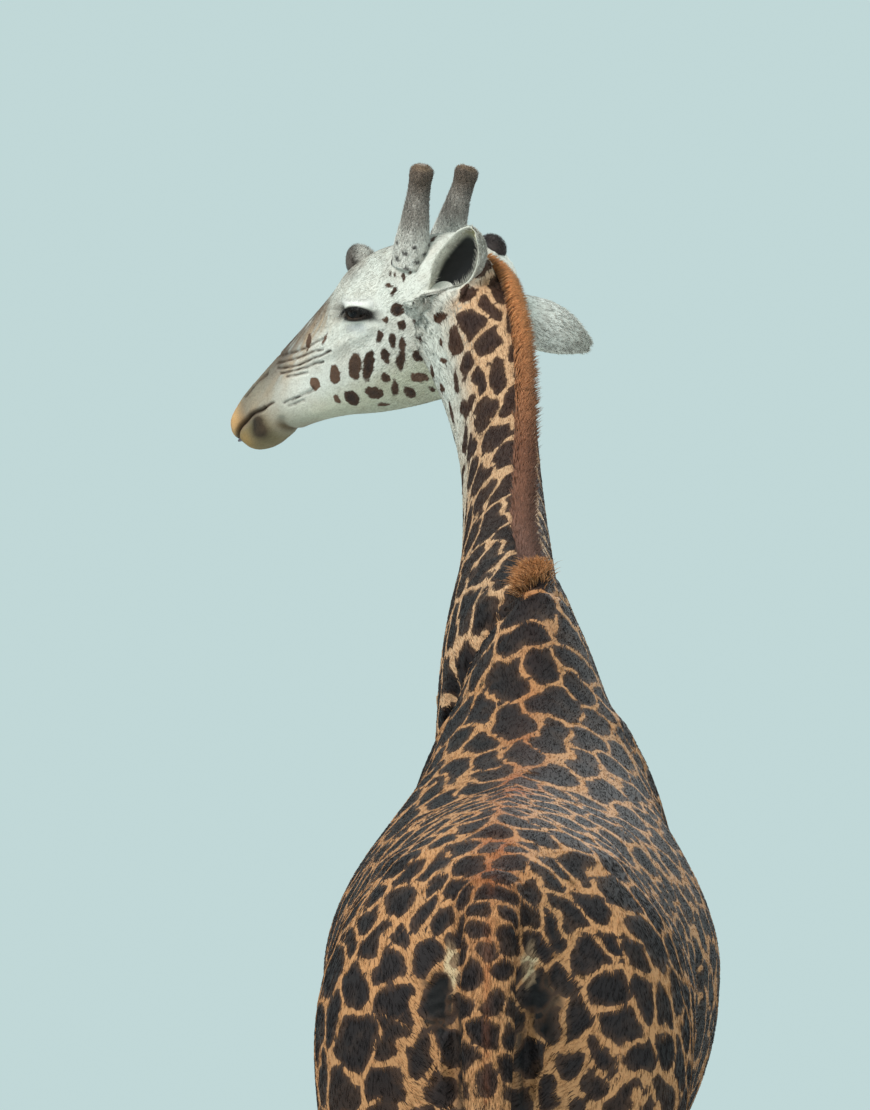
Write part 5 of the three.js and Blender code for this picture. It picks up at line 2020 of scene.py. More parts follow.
@dataclass
class Ear:
    """One ear: an open cone of skin, rolled at the root and pointed at the tip."""

    name: str
    root: tuple
    tip: tuple
    open: tuple
    sunk: bool = False  # whether the skin is pressed out of its hollow
    wall: float = 0.0068
    bow: float = 0.01  # how far the middle of the back bows out
    lengths: int = 60
    across: int = 44
    fringe_hairs: int = 520
    fur_hairs: int = 2600
    # share of the length, radius, and half the angle that the cone spans, in degrees
    rows: Array = field(default_factory=lambda: np.array([
        [0.0, 0.024, 138], [0.16, 0.033, 124], [0.34, 0.047, 104], [0.54, 0.055, 84],
        [0.72, 0.05, 74], [0.87, 0.035, 66], [1.0, 0.013, 60]]))

    def frame(self) -> tuple[Array, Array, Array, Array]:
        """The root, the axis, the way the ear opens, square to the axis, and the side."""
        root, tip = np.array(self.root), np.array(self.tip)
        axis = tip - root
        way = unit(axis)
        mouth = unit(np.array(self.open) - way * (np.array(self.open) @ way))
        return root, axis, mouth, np.cross(way, mouth)

    def surface(self, share: Array, angle: Array, lift: Array) -> Array:
        """Points: centre + side r sin a - mouth r cos a, with the radius reduced by the lift.

        Args:
            share: Shares of the ear's length.
            angle: From -1 to 1 between the rims.
            lift: How far in from the back of the ear.

        Returns:
            Points in the head's frame.
        """
        root, axis, mouth, side = self.frame()
        t = np.interp(share, self.rows[:, 0], np.linspace(0, 1, len(self.rows)))
        radius, spread = np.moveaxis(spline(self.rows[:, 1:], t), -1, 0)
        a = angle * np.radians(spread)
        lip = 0.0045 * ramp(np.abs(angle), 0.8, 1.0) * ramp(share, 0.1, 0.3)
        r = radius + lip - lift
        centre = root + axis * share[..., None]
        bow = self.bow * np.sin(np.pi * share) * (1 - angle ** 2)
        return centre + side * (r * np.sin(a))[..., None] - mouth * (r * np.cos(a) + bow)[..., None]

    def hollow(self, p: Array) -> tuple[Array, Array]:
        """Where points of the head stand in the ear's hollow.

        Args:
            p: Points in the head's frame.

        Returns:
            How far each is in front of the middle of the wall, and how far inside the rims, from 0 to 1.
        """
        root, axis, mouth, side = self.frame()
        d = p - root
        share = d @ axis / (axis @ axis)
        t = np.interp(share, self.rows[:, 0], np.linspace(0, 1, len(self.rows)))
        radius, spread = spline(self.rows[:, 1:], t).T
        half = radius * np.sin(np.radians(np.minimum(spread, 90)))
        across = d @ side
        bow = self.bow * np.sin(np.pi * np.clip(share, 0, 1))
        deep = np.sqrt(np.maximum(radius ** 2 - across ** 2, 0)) + bow
        inside = ramp(1 - np.abs(across) / half, 0.0, 0.2) * ramp(share, -0.04, 0.16)
        inside *= (1 - ramp(share, 0.98, 1.06)) * self.sunk
        return d @ mouth + deep - 0.5 * self.wall, inside

    def clear(self, p: Array) -> Array:
        """Presses points of the skin that stand in the hollow back into the ear's wall."""
        high, inside = self.hollow(p)
        return p - self.frame()[2] * (np.maximum(high, 0) * inside)[:, None]

    def build(self, kit: "Kit") -> None:
        """Makes the shell with its fur, and the fringe inside it.

        Args:
            kit: The shared finishes and the body.
        """
        share = np.linspace(0, 1, self.lengths)[:, None] * np.ones(self.across)
        angle = np.ones(self.lengths)[:, None] * np.linspace(-1, 1, self.across)
        wall = self.wall * (1 - 0.5 * share) * (1 - 0.35 * ramp(np.abs(angle), 0.86, 1.0))
        folds = 0.0009 * np.sin(14 * angle + 3 * share) * ramp(share, 0.05, 0.3)
        outer = self.surface(share, angle, np.zeros_like(share))
        inner = self.surface(share, angle, wall + folds)
        points, faces = closed_grid(np.concatenate([outer, inner[:, ::-1]], 1))
        inside = np.concatenate([np.zeros_like(share), np.ones_like(share)], 1)
        spread = np.concatenate([angle, angle[:, ::-1]], 1)
        down = np.concatenate([share, share], 1)
        flat = [np.concatenate([v.ravel(), [v[0].mean(), v[-1].mean()]]) for v in (inside, spread, down)]
        made = make_mesh(self.name + "_shell", HEAD_FRAME.out(points), faces)
        set_attribute(made.data, "tint", self.tint(*flat))
        dress(made, kit.ear, Slot.EAR, self.name)
        self.fringe(kit)

    def tint(self, inside: Array, spread: Array, share: Array) -> Array:
        """Pale fur behind, a paler rolled rim, and a dark hollow inside, with painted shade deep in it.

        Args:
            inside: 1 in the hollow and 0 behind.
            spread: From -1 to 1 between the rims.
            share: Shares of the ear's length.

        Returns:
            A colour for each point.
        """
        n = len(inside)
        # deep: the deepest part of the hollow near the root, its dark skin painted darker still as shade
        deep = (1 - ramp(np.abs(spread + 0.26), 0.36, 0.62)) * (1 - ramp(share, 0.58, 0.82))
        back = painted(plain(n, 226, 226, 218), ((196, 188, 170), ramp(share, 0.55, 1.0) * 0.4))
        hollow = painted(plain(n, 206, 206, 192), ((158, 152, 104), ramp(share, 0.62, 0.88)),
                         ((20, 20, 22), deep * 1.3))
        both = back + (hollow - back) * inside[:, None]
        return painted(both, ((232, 232, 220), ramp(np.abs(spread), 0.84, 0.97) * 0.9))

    def fringe(self, kit: "Kit") -> None:
        """White hairs that stand in from the rims across the hollow, and short fur over the back.

        Args:
            kit: The shared finishes and the body.
        """
        draw = np.random.default_rng(len(self.name))
        n, m = self.fringe_hairs, self.fur_hairs
        root, axis, mouth, _ = self.frame()
        first = draw.uniform(0.05, 0.94, n)
        edge = np.where(draw.uniform(size=n) < 0.5, -1, 1) * draw.uniform(0.8, 0.99, n)
        at = self.surface(first, edge, np.full(n, 0.5 * self.wall))
        towards = self.surface(first, edge * 0.2, np.full(n, self.wall)) - at
        way = unit(unit(towards) * 0.9 + mouth * 0.9 + unit(axis) * 0.7 + draw.normal(size=(n, 3)) * 0.16)
        length = draw.uniform(0.012, 0.03, n) * (1 - 0.4 * first)
        tint = shade(220, 218, 206) * draw.uniform(0.7, 1.0, (n, 1))
        share, angle = draw.uniform(0.02, 0.99, m), draw.uniform(-1, 1, m)
        fur = self.surface(share, angle, np.zeros(m))
        out = unit(fur - (root + axis * share[:, None]))
        lie = unit(unit(axis) + out * 0.1 + draw.normal(size=(m, 3)) * 0.1)
        colour = self.tint(np.zeros(m), angle, share) * draw.uniform(0.75, 1.05, (m, 1))
        locks = Locks(
            HEAD_FRAME.out(np.vstack([at, fur])), HEAD_FRAME.turn_out(np.vstack([way, lie])),
            np.concatenate([length, draw.uniform(0.006, 0.01, m)]),
            np.concatenate([np.full(n, 0.001), np.full(m, 0.0013)]),
            np.zeros((n + m, 3)), np.vstack([tint, colour]),
            np.stack([np.concatenate([edge, angle]) * 0.5 + 0.5, np.concatenate([first, share])], 1), rows=2)
        kit.hair_piece(self.name + "_hair", locks, kit.hair, Slot.PALE)


EARS = (Ear("ear_left", (0.137, 0.07, -0.03), (-0.068, 0.182, 0.004), (0.245, 0.9, 0.245), sunk=True),
        Ear("ear_right", (0.128, -0.068, -0.052), (0.046, -0.244, -0.245), (0.65, -0.5, 0.15)))


@dataclass
class Ossicone:
    """One horn of bone under skin: a stem with a knob, ringed with hair."""

    name: str
    root: tuple
    tip: tuple
    rows: Array = field(default_factory=lambda: np.array([
        [0.0, 0.042], [0.2, 0.04], [0.42, 0.033], [0.62, 0.0275], [0.8, 0.0255],
        [0.9, 0.0275], [0.97, 0.023], [1.0, 0.012]]))
    lengths: int = 56
    sides: int = 40
    hairs: int = 7500

    def surface(self, share: Array, angle: Array) -> Array:
        """Round sections along the axis, with lumps and ridges: r (1 + lumps).

        Args:
            share: Shares of the horn's length.
            angle: Angles round it.

        Returns:
            Points in the head's frame.
        """
        root, axis = np.array(self.root), np.array(self.tip) - np.array(self.root)
        way = unit(axis)
        side = unit(np.cross(way, [1.0, 0.0, 0.0]))
        t = np.interp(share, self.rows[:, 0], np.linspace(0, 1, len(self.rows)))
        radius = spline(self.rows[:, 1:], t)[..., 0] - COAT_DEPTH * 0.7
        lumps = 0.035 * np.sin(3 * angle + 9 * share) + 0.025 * np.sin(5 * angle - 21 * share)
        ridge = 0.02 * np.sin(11 * angle + 4 * share) * (1 - share)
        r = radius * (1 + lumps * ramp(share, 0.3, 0.9) + ridge)
        other = np.cross(way, side)
        across = side * (r * np.cos(angle))[..., None]
        return root + axis * share[..., None] + across + other * (r * np.sin(angle))[..., None]

    def build(self, kit: "Kit") -> None:
        """Makes the horn and its hair.

        Args:
            kit: The shared finishes and the body.
        """
        share = np.linspace(0, 1, self.lengths)[:, None] * np.ones(self.sides)
        angle = np.ones(self.lengths)[:, None] * (np.arange(self.sides) / self.sides * 2 * np.pi)
        points, faces = closed_grid(self.surface(share, angle))
        along = np.concatenate([share.ravel(), [0, 1]])
        made = make_mesh(self.name + "_horn", HEAD_FRAME.out(points), faces)
        set_attribute(made.data, "tint", self.tint(along, np.concatenate([angle.ravel(), [0, 0]])))
        dress(made, kit.horn, Slot.HORN, self.name)
        draw = np.random.default_rng(len(self.name) + 3)
        n = self.hairs
        share, angle = draw.uniform(0, 0.999, n) ** 0.9, draw.uniform(0, 2 * np.pi, n)
        at = self.surface(share, angle)
        root, axis = np.array(self.root), np.array(self.tip) - np.array(self.root)
        out = unit(at - (root + axis * share[:, None]))
        top = ramp(share, 0.88, 0.97)[:, None]
        lean = unit(axis) * (1 - 0.8 * top) + out * 0.14 * (1 + 2 * top)
        way = unit(lean + draw.normal(size=(n, 3)) * 0.16)
        length = draw.uniform(0.006, 0.01, n) * (1 - 0.4 * top[:, 0])
        clump = np.sin(7 * angle + 31 * share) * np.sin(23 * share + 5 * angle)
        clump = 1 + 0.38 * clump * ramp(share, 0.2, 0.4)
        tint = self.tint(share, angle) * (draw.uniform(0.6, 1.25, n) * clump)[:, None]
        locks = Locks(HEAD_FRAME.out(at), HEAD_FRAME.turn_out(way), length, np.full(n, 0.0016),
                      np.zeros((n, 3)), tint, np.stack([angle / (2 * np.pi), share], 1), rows=1)
        kit.hair_piece(self.name + "_hair", locks, kit.hair, Slot.HORN)

    def tint(self, share: Array, angle: Array) -> Array:
        """White with dark spots at the foot, grey in the middle, with a brown knob.

        Args:
            share: Shares of the horn's length.
            angle: Angles round it.

        Returns:
            A colour for each point.
        """
        spots = ramp(np.sin(5 * angle + 9 * share) * np.sin(44 * share + 1), 0.45, 0.75)
        return painted(
            plain(len(share), 226, 226, 218),
            ((158, 152, 144), ramp(share, 0.22, 0.52)),
            ((56, 47, 44), spots * (1 - ramp(share, 0.2, 0.34)) * 0.9),
            ((112, 98, 86), ramp(share, 0.62, 0.86)),
            ((136, 112, 88), ramp(share, 0.93, 0.99) * 0.8))


@dataclass
class Knob:
    """A low rounded lump of bone under short hair."""

    name: str
    at: tuple
    radii: tuple
    tone: tuple
    behind: tuple  # its colour on the side towards the neck
    hairs: int = 4200

    def build(self, kit: "Kit") -> None:
        """Makes the lump, and hair that lies back over it.

        Args:
            kit: The shared finishes and the body.
        """
        tilt, turn = ball_grid(38, 48)
        uneven = 1 + 0.04 * np.sin(4 * turn + 3 * tilt) * np.sin(tilt) + 0.025 * np.sin(7 * turn - 5 * tilt)
        radii = np.array(self.radii)
        points, faces = closed_grid(ball(tilt, turn) * uneven[..., None] * (radii - COAT_DEPTH * 0.7))
        made = make_mesh(self.name + "_bone", HEAD_FRAME.out(points + np.array(self.at)), faces)
        set_attribute(made.data, "tint", self.tint(unit(points)[:, 0]))
        dress(made, kit.horn, Slot.HORN, self.name)
        draw = np.random.default_rng(len(self.name) + 9)
        n = self.hairs
        way = unit(draw.normal(size=(n, 3)))
        way[:, 2] = np.maximum(way[:, 2], -0.6)
        way = unit(way)
        at = np.array(self.at) + way * (radii - COAT_DEPTH)
        lie = unit(way * 0.22 + np.array([-0.8, 0, 0.25]) + draw.normal(size=(n, 3)) * 0.16)
        clump = 1 + 0.45 * np.sin(9 * way[:, 0] + 4 * way[:, 1]) * np.sin(11 * way[:, 1] - 7 * way[:, 2])
        tint = self.tint(way[:, 0]) * (draw.uniform(0.6, 1.35, n) * clump)[:, None]
        locks = Locks(HEAD_FRAME.out(at), HEAD_FRAME.turn_out(lie), draw.uniform(0.006, 0.01, n),
                      np.full(n, 0.0016), np.zeros((n, 3)), tint, way[:, :2] * 0.48 + 0.5, rows=1)
        kit.hair_piece(self.name + "_hair", locks, kit.hair, Slot.HORN)

    def tint(self, ahead: Array) -> Array:
        """The lump's own colour in front, and the other one behind."""
        return painted(plain(len(ahead), *self.tone), (self.behind, ramp(-ahead, -0.1, 0.7)))


@dataclass
class Eye:
    """One eyeball with its lashes."""

    name: str
    side: int
    iris: float = 0.0175  # the iris's radius on the ball
    gaze: tuple = (0.1, 0.98, -0.05)
    lashes: int = 110

    def out(self, p: Array) -> Array:
        """Mirrors head coordinates to this eye's side, then gives the body's coordinates."""
        return HEAD_FRAME.out(p * np.array([1, self.side, 1]))

    def build(self, kit: "Kit") -> None:
        """Makes the ball, with the cornea as a low bulge, and the lashes.

        Args:
            kit: The shared finishes and the body.
        """
        gaze = unit(np.array(self.gaze))
        right = unit(np.cross(gaze, [0, 0, 1.0]))
        up = np.cross(right, gaze)
        tilt, turn = ball_grid(70, 72)
        radius = EYE_RADIUS - 0.0012 + 0.0016 * bell(tilt, 0.55)
        points, faces = closed_grid(ball(tilt, turn, (right, up, gaze)) * radius[..., None])
        side, high, deep = points @ right, points @ up, points @ gaze
        made = make_mesh(self.name + "_ball", self.out(points + EYE_AT), faces[:, ::self.side])
        across = np.hypot(side, high)
        set_attribute(made.data, "iris", np.where(deep > 0, across / self.iris, 2.0))
        set_attribute(made.data, "pupil", np.where(deep > 0, np.hypot(side / 0.01, high / 0.0062), 2.0))
        around = np.stack([side, high, 0 * side], 1) / np.maximum(across, 1e-4)[:, None]
        set_attribute(made.data, "spokes", around * 1.5)
        dress(made, kit.eye, Slot.EYE, self.name)
        self.lash(kit)

    def lash(self, kit: "Kit") -> None:
        """Long lashes from the upper lid, that droop outwards, and a few short ones below.

        Args:
            kit: The shared finishes and the body.
        """
        draw = np.random.default_rng(41)
        n = self.lashes
        upper = draw.uniform(size=n) < 0.8
        a = np.where(upper, draw.uniform(0.1, 0.9, n), -draw.uniform(0.15, 0.85, n)) * np.pi
        tilt = math.radians(LIDS.tilt)
        tall = np.where(upper, LIDS.high, LIDS.low)
        along, high = 1.12 * LIDS.long * np.cos(a), 1.12 * tall * np.sin(a)
        u = along * math.cos(tilt) + high * math.sin(tilt)
        v = high * math.cos(tilt) - along * math.sin(tilt)
        deep = np.sqrt(np.maximum(EYE_RADIUS ** 2 - u ** 2 - v ** 2, 0))
        out = unit(np.stack([u, deep, v], 1))
        at = EYE_AT + out * (EYE_RADIUS + LIDS.rim * 0.8)
        way = unit(out * 0.8 + np.stack([0.25 + u * 8, 0.3 + 0 * u, np.where(upper, -0.45, -0.35)], 1)
                   + draw.normal(size=(n, 3)) * 0.09)
        length = np.where(upper, draw.uniform(0.016, 0.027, n), draw.uniform(0.006, 0.011, n))
        bend = np.stack([0 * u, 0 * u, np.where(upper, -0.45, 0.1) * length], 1)
        flip = np.array([1, self.side, 1])
        locks = Locks(HEAD_FRAME.out(at * flip), HEAD_FRAME.turn_out(way * flip), length, np.full(n, 0.0012),
                      HEAD_FRAME.turn_out(bend * flip), plain(n, 26, 20, 18),
                      np.stack([a / (2 * np.pi) + 0.5, 0.5 + 0 * a], 1), rows=4)
        kit.hair_piece(self.name + "_lashes", locks, kit.hair, Slot.COAT)


@dataclass
class Tongue:
    """The tip of the tongue between the lips."""

    at: tuple = (0.752, 0.012, -0.006)
    radii: tuple = (0.026, 0.017, 0.005)

    def build(self, kit: "Kit") -> None:
        """Makes a flat rounded tip with a groove along its middle."""
        tip = ball(*ball_grid(34, 44), np.roll(np.eye(3), 1, 1))
        tip[..., 2] *= 1 - 0.35 * bell(tip[..., 1], 0.25) * (tip[..., 2] > 0)
        points, faces = closed_grid(tip * np.array(self.radii))
        made = make_mesh("tongue_flesh", HEAD_FRAME.out(points + np.array(self.at)), faces)
        set_attribute(made.data, "tint", plain(len(points), 92, 70, 84))
        dress(made, kit.tongue, Slot.TONGUE, "tongue_tip")


@dataclass
class Hoof:
    """The eight claws: two on each foot, with growth rings and a worn sole."""

    cleft: float = 0.007
    inner: float = 0.35
    powers: tuple = (2.2, 7.0)
    # height, width of one claw, reach forward and reach back
    rows: Array = field(default_factory=lambda: np.array([
        [0.1117, 0.066, 0.084, 0.074], [0.035, 0.092, 0.13, 0.097], [0.0, 0.097, 0.148, 0.102]]))
    feet: tuple = (("hind_right", 0.15, 0.17), ("hind_left", -0.15, 0.17),
                   ("fore_right", 0.15, 1.47), ("fore_left", -0.15, 1.47))

    def build(self, kit: "Kit") -> None:
        """Makes a claw on each side of every foot."""
        for name, x, y in self.feet:
            for which, side in (("inner", -1), ("outer", 1)):
                outward = side * (1 if x > 0 else -1)
                self.claw(kit, f"{name}_claw_{which}", x, y, outward)

    def claw(self, kit: "Kit", name: str, x: float, y: float, side: int) -> None:
        """One claw: superellipse sections from the crown to the ground, wider outwards than inwards.

        Args:
            kit: The shared finishes and the body.
            name: The claw's node.
            x: The foot's place across.
            y: The foot's place along.
            side: 1 for a claw on the right, -1 for one on the left.
        """
        n, m = 46, 44
        height = np.linspace(0.1117, 0.0, n)
        z, width, front, back = (np.interp(height, self.rows[::-1, 0], self.rows[::-1, k]) for k in range(4))
        angle = np.arange(m) / m * 2 * np.pi
        c, s = np.cos(angle), np.sin(angle)
        power = np.where(s >= 0, self.powers[0], self.powers[1])
        r = (np.abs(c) ** power + np.abs(s) ** power) ** (-1 / power)
        middle = x + side * (self.cleft + width * self.inner)
        rings = 0.0011 * np.sin(2 * np.pi * height / 0.0085 + 0.8 * np.sin(60 * height))
        rings *= ramp(height, 0.004, 0.02)
        edge = 0.0022 * (1 - ramp(height, 0.0, 0.006))
        shrink = -0.0012 + rings - edge
        half = (front + back) / 2 + shrink
        width = width[:, None]
        tall = np.where(s >= 0, width * (1 - self.inner), width * self.inner) + shrink[:, None]
        px = middle[:, None] + side * tall * r * s
        py = (y + (front - back) / 2)[:, None] + half[:, None] * r * c
        points, faces = closed_grid(np.stack([px, py, np.tile(z[:, None], (1, m))], -1))
        tint = painted(
            plain(len(points), 58, 48, 42),
            ((104, 88, 72), bell(points[:, 2], 0.03) * 0.8),
            ((120, 100, 82), ramp(points[:, 2], 0.092, 0.112) * 0.7))
        made = make_mesh(name + "_horn", points, faces)
        set_attribute(made.data, "tint", tint)
        dress(made, kit.hoof, Slot.HOOF, name)


# Mane and tail -----------------------------------------------

@dataclass
class Mane:
    """The stiff crest along the ridge of the neck."""

    span: tuple = (0.085, 0.975)
    half: float = 0.016
    height: float = 0.034
    count: int = 13500
    pieces: int = 3
    nodes: tuple = ("mane_lower", "mane_middle", "mane_upper")
    tuft_at: tuple = (-0.012, 1.44, 2.95)
    tuft_locks: int = 1400
    tones: tuple = ((206, 146, 92), (112, 80, 68), (140, 92, 66), (226, 156, 98))
    tone_at: tuple = (0.02, 0.07, 0.45, 0.85)  # shares of the crest's length

    def tall(self, s: Array) -> Array:
        """The crest's height, lower at both ends."""
        return self.height * np.minimum(1, np.minimum(0.55 + 5 * s, 0.45 + 6 * (1 - s)))

    def build(self, kit: "Kit", surface: Surface) -> None:
        """Makes the crest in three lengths, and the tuft.

        Args:
            kit: The shared finishes and the body.
            surface: The skin.
        """
        neck = kit.body.tubes["neck"]
        tones = np.array([shade(*tone) for tone in self.tones]).T
        draw = np.random.default_rng(77)
        for part in range(self.pieces):
            n = self.count // self.pieces
            s = np.clip((part + draw.uniform(-0.02, 1.02, n)) / self.pieces, 0, 1)
            t = self.span[0] + (self.span[1] - self.span[0]) * s
            ridge, at = neck.ridge(t)
            aside = np.clip(draw.normal(size=n) * 0.5, -1, 1) * self.half
            fall = aside ** 2 / (2 * 0.075)
            root = ridge + at.side * aside[:, None] - at.up * (0.006 + fall)[:, None]
            way = unit(at.up + at.side * (aside / self.half * 0.38)[:, None] - at.ahead * 0.3
                       + draw.normal(size=(n, 3)) * (0.1 + 0.25 * (s < 0.06))[:, None])
            tall = self.tall(s) * draw.uniform(0.82, 1.05, n) + 0.004
            tone = np.stack([np.interp(s, self.tone_at, channel) for channel in tones], 1)
            # painted light and shade: the crest's left side, towards the key light, is lightened and its
            # right side darkened
            right = ramp((at.side * aside[:, None])[:, 0], -0.004, 0.01)
            tint = tone * draw.uniform(0.6, 1.25, (n, 1)) * (1.12 - 0.52 * right)[:, None]
            bend = -at.ahead * (tall * 0.12)[:, None]
            chart = np.stack([aside / self.half * 0.5 + 0.5, s * self.pieces - part], 1).clip(0, 1)
            locks = Locks(root, way, tall, draw.uniform(0.0018, 0.0031, n), bend, tint, chart, rows=2)
            kit.hair_piece(f"mane_hair_{part}", locks, kit.mane, Slot.MANE, self.nodes[part])
        self.tuft(kit, surface)

    def tuft(self, kit: "Kit", surface: Surface) -> None:
        """Makes the tuft of longer hair on the withers, where the crest ends.

        Args:
            kit: The shared finishes and the body.
            surface: The skin.
        """
        draw = np.random.default_rng(78)
        n = self.tuft_locks
        near = np.linalg.norm((surface.points - np.array(self.tuft_at)) / [0.7, 1.2, 1.2], axis=1)
        root, normal = scattered(surface, bell(near, 0.022), n, draw)
        fan = np.stack([(root[:, 0] - self.tuft_at[0]) * 9 - 0.15, np.full(n, -0.25), np.full(n, 0.75)], 1)
        way = unit(unit(fan) + normal * 0.55 + draw.normal(size=(n, 3)) * 0.2)
        length = draw.uniform(0.02, 0.042, n)
        bend = np.stack([0.25 * draw.normal(size=n), np.full(n, -0.45), np.full(n, -0.35)], 1)
        bend = bend * length[:, None]
        tint = shade(216, 154, 98) * draw.uniform(0.55, 1.2, (n, 1))
        flat = (root - np.array(self.tuft_at))[:, :2] * 5 + 0.5
        locks = Locks(root, way, length, draw.uniform(0.0016, 0.0028, n), bend, tint, flat.clip(0, 1))
        kit.hair_piece("mane_hair_tuft", locks, kit.mane, Slot.MANE)


@dataclass
class TailHair:
    """The long black hair at the tail's end."""

    count: int = 900
    # y, z, half-width and half-depth of the tuft
    rows: Array = field(default_factory=lambda: np.array([
        [-0.118, 1.4, 0.024, 0.02], [-0.114, 1.3, 0.04, 0.034], [-0.11, 1.12, 0.05, 0.042],
        [-0.106, 0.96, 0.044, 0.036], [-0.102, 0.84, 0.024, 0.018], [-0.1, 0.78, 0.006, 0.006]]))

    def build(self, kit: "Kit") -> None:
        """Long locks that follow the tuft's own outline, each at its own share of the outline.

        Args:
            kit: The shared finishes and the body.
        """
        draw = np.random.default_rng(23)
        n, rows, sides = self.count, 9, 3
        start = draw.uniform(0.0, 0.3, n)
        end = np.minimum(start + draw.uniform(0.45, 0.95, n), draw.uniform(0.86, 1.0, n))
        angle = draw.uniform(0, 2 * np.pi, n)
        out = np.sqrt(draw.uniform(0.02, 0.92, n))
        share = start[:, None] + (end - start)[:, None] * np.linspace(0, 1, rows + 1)
        y, z, half, deep = np.moveaxis(spline(self.rows, share), -1, 0)
        turn = angle[:, None] + 0.5 * np.sin(5 * share + angle[:, None])
        wave = 0.004 * np.sin(17 * share + 3 * angle[:, None])
        centre = np.stack([half * out[:, None] * np.cos(turn) + wave,
                           y + deep * out[:, None] * np.sin(turn), z], -1)
        wide = 0.0042 * draw.uniform(0.6, 1.2, n)[:, None] * (1 - 0.8 * np.linspace(0, 1, rows + 1) ** 2)
        ring = np.arange(sides) / sides * 2 * np.pi
        around = np.stack([np.cos(ring), np.sin(ring), 0 * ring], -1)
        rings = centre[:, :rows, None] + wide[:, :rows, None, None] * around
        points = np.concatenate([rings.reshape(n, -1, 3), centre[:, rows:]], 1)
        chart = np.stack([angle / (2 * np.pi), start], 1)
        locks = Locks(*(np.zeros((1, 3)),) * 6, chart, rows=rows, sides=sides)
        faces = locks.pattern()[None, :, ::-1] + (np.arange(n) * (rows * sides + 1))[:, None, None]
        made = make_mesh("tail_hair_tuft", points.reshape(-1, 3), faces.reshape(-1, 3))
        tone = shade(24, 20, 20) * draw.uniform(0.6, 2.2, (n, 1))
        tone = tone + shade(30, 18, 12) * draw.uniform(0, 0.5, (n, 1))
        set_attribute(made.data, "tint", np.repeat(tone, rows * sides + 1, 0))
        locks.spread(made.data)
        dress(made, kit.tail, Slot.TAIL, "tail_tuft")


# The whole ---------------------------------------------------

SIDES = ("left", "right")
FLESH = ("rump", "barrel", "chest", "neck_lower", "neck_upper", "head", "muzzle", "lower_jaw", "tail_root",
         "tail_middle",
         *(f"hind_{side}_{part}" for side in SIDES for part in ("thigh", "shank", "cannon", "foot")),
         *(f"fore_{side}_{part}" for side in SIDES for part in ("shoulder", "forearm", "cannon", "foot")))


class Kit:
    """The finishes and the body, shared by every sub-assembly."""

    def __init__(self) -> None:
        """Makes every material once."""
        self.body = Body()
        self.coat = PatchFinish("short_patched_fur").make()
        self.tufts = PatchFinish("patched_fur_tufts", rooted=True, bump=0.2).make()
        self.hair = HairFinish("fine_hair", roughness=0.6, pitch=420.0, share=0.35).make()
        self.mane = HairFinish("crest_hair", roughness=0.55, pitch=240.0, share=0.4).make()
        self.tail = HairFinish("tail_hair", roughness=0.42, stretch=(1, 1, 0.12), pitch=500.0).make()
        self.horn = HairFinish("horn_skin", roughness=0.66, pitch=330.0, depth=0.0018, share=0.55).make()
        self.ear = HairFinish("ear_skin", roughness=0.64, pitch=420.0, share=0.4).make()
        self.hoof = HairFinish("hoof_horn", 0.44, stretch=(1, 1, 0.15), pitch=330.0, share=0.55).make()
        self.eye = EyeFinish().make()
        self.tongue = HairFinish("wet_tongue", roughness=0.3, pitch=700.0, share=0.3, coat=0.4).make()

    def hair_piece(self, name: str, locks: Locks, material: bpy.types.Material, slot: Slot,
                   *nodes: str) -> None:
        """Makes one piece of locks.

        Args:
            name: The piece's name.
            locks: Its locks.
            material: Its material.
            slot: Its slot.
            nodes: The nodes that it hides.
        """
        points, faces, tint = locks.mesh(0.002)
        made = make_mesh(name, points, faces)
        set_attribute(made.data, "tint", tint)
        locks.spread(made.data)
        dress(made, material, slot, *nodes)


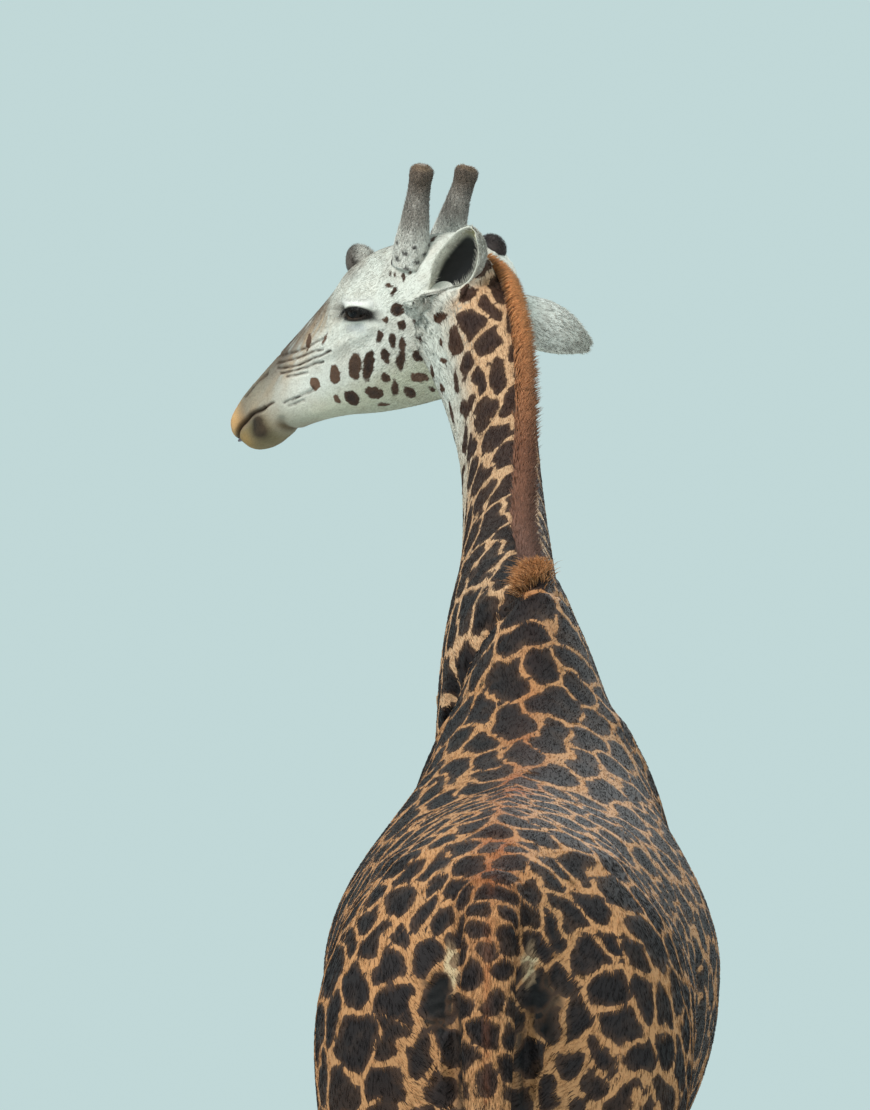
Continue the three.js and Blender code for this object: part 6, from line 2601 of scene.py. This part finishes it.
@dataclass
class Studio:
    """The camera, a pale floor, a pale background and soft lights."""

    eye: tuple = (1.00708, -14.50331, 1.9)
    look: tuple = (-0.06956, 0.9947, 0.07567)
    lens: float = 240.0  # millimetres, on a 36 mm long side
    floor: float = 9.0

    def build(self) -> None:
        """Sets up everything that isn't the animal."""
        self.camera()
        self.ground()
        self.light("key", (-4.5, -7.0, 9.5), 4.0, 1050, (1.0, 0.975, 0.94))
        self.light("fill", (7.5, -7.0, 5.0), 6.0, 260, (0.96, 0.98, 1.0))
        self.light("back", (2.0, 8.0, 8.0), 6.0, 420, (1.0, 1.0, 1.0))
        world = bpy.data.worlds.new("pale_sky")
        world.use_nodes = True
        world.node_tree.nodes["Background"].inputs["Color"].default_value = (0.56, 0.72, 0.72, 1)
        world.node_tree.nodes["Background"].inputs["Strength"].default_value = 0.95
        bpy.context.scene.world = world
        bpy.context.scene.view_settings.view_transform = "Standard"

    def camera(self) -> None:
        """Aims the camera along its line of sight, upright."""
        data = bpy.data.cameras.new("camera")
        data.lens = self.lens
        data.sensor_width = 36.0
        data.clip_end = 100.0
        bpy.context.scene.camera = self.aimed("camera", data, self.eye, -unit(np.array(self.look)))

    def aimed(self, name: str, data: bpy.types.ID, at: tuple, back: Array) -> bpy.types.Object:
        """Links a camera or a light at a place, upright, with its back to a direction.

        Args:
            name: The object's name.
            data: Its camera or light.
            at: Its place.
            back: The unit direction behind it.

        Returns:
            The object.
        """
        right = unit(np.cross([0, 0, 1.0], back))
        matrix = np.eye(4)
        matrix[:3, :3] = np.stack([right, np.cross(back, right), back], 1)
        matrix[:3, 3] = at
        made = bpy.data.objects.new(name, data)
        made.matrix_world = Matrix(matrix.tolist())
        bpy.context.scene.collection.objects.link(made)
        return made

    def ground(self) -> None:
        """A round floor with a low rim, so that it has a thickness."""
        radius = np.array([0.5, 1.0, 1.0, 0.5])[:, None] * self.floor
        turn = np.arange(96)[None] / 96 * 2 * np.pi
        height = np.array([0.0, 0.0, -0.02, -0.02])[:, None] + 0 * turn
        points, faces = closed_grid(np.stack([radius * np.cos(turn), radius * np.sin(turn), height], -1))
        made = make_mesh("floor", points + ORIGIN_SHIFT, faces, smooth=False)
        made.data.materials.append(FloorFinish().make())
        made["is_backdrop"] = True

    def light(self, name: str, at: tuple, size: float, power: float, colour: tuple) -> None:
        """A square soft light that faces the middle of the animal.

        Args:
            name: Its name.
            at: Its place.
            size: The length of its side.
            power: Watts.
            colour: Its colour.
        """
        data = bpy.data.lights.new(name, "AREA")
        data.size = size
        data.energy = power
        data.color = colour
        self.aimed(name, data, at, unit(np.array(at) - np.array([0, 0, 2.2])))


def main() -> None:
    """Builds the giraffe and the studio in order."""
    logging.basicConfig(level=logging.INFO)
    studio = Studio()
    studio.build()
    kit = Kit()
    shape = Skin(body=kit.body)
    surface = shape.build()
    markings = Markings(surface.points, surface.region, surface.area)
    surface = shape.align(surface, markings)
    skin = make_mesh("skin", surface.points, surface.faces)
    markings.read(surface.region).store(skin.data)
    dress(skin, kit.coat, Slot.COAT, *FLESH)
    for piece in COAT:
        piece.build(kit, surface, markings)
    for ear in EARS:
        ear.build(kit)
    Ossicone("ossicone_left", (0.164, 0.061, 0.062), (-0.002, 0.09, 0.215)).build(kit)
    Ossicone("ossicone_right", (0.15, -0.06, 0.066), (-0.004, -0.09, 0.202)).build(kit)
    Knob("horn_median", (0.296, 0.0, 0.142), (0.038, 0.034, 0.052), (88, 80, 74), (196, 194, 186)).build(kit)
    Knob("horn_occipital", (0.008, 0.0, -0.004), (0.036, 0.032, 0.036), (70, 70, 76), (60, 50, 48)).build(kit)
    for side, name in ((1, "eye_left"), (-1, "eye_right")):
        Eye(name, side).build(kit)
    Tongue().build(kit)
    Hoof().build(kit)
    Mane().build(kit, surface)
    TailHair().build(kit)
    LOG.info("in all: %d triangles", sum(triangles(made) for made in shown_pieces() if made.type == "MESH"))


if __name__ == "__main__":
    main()
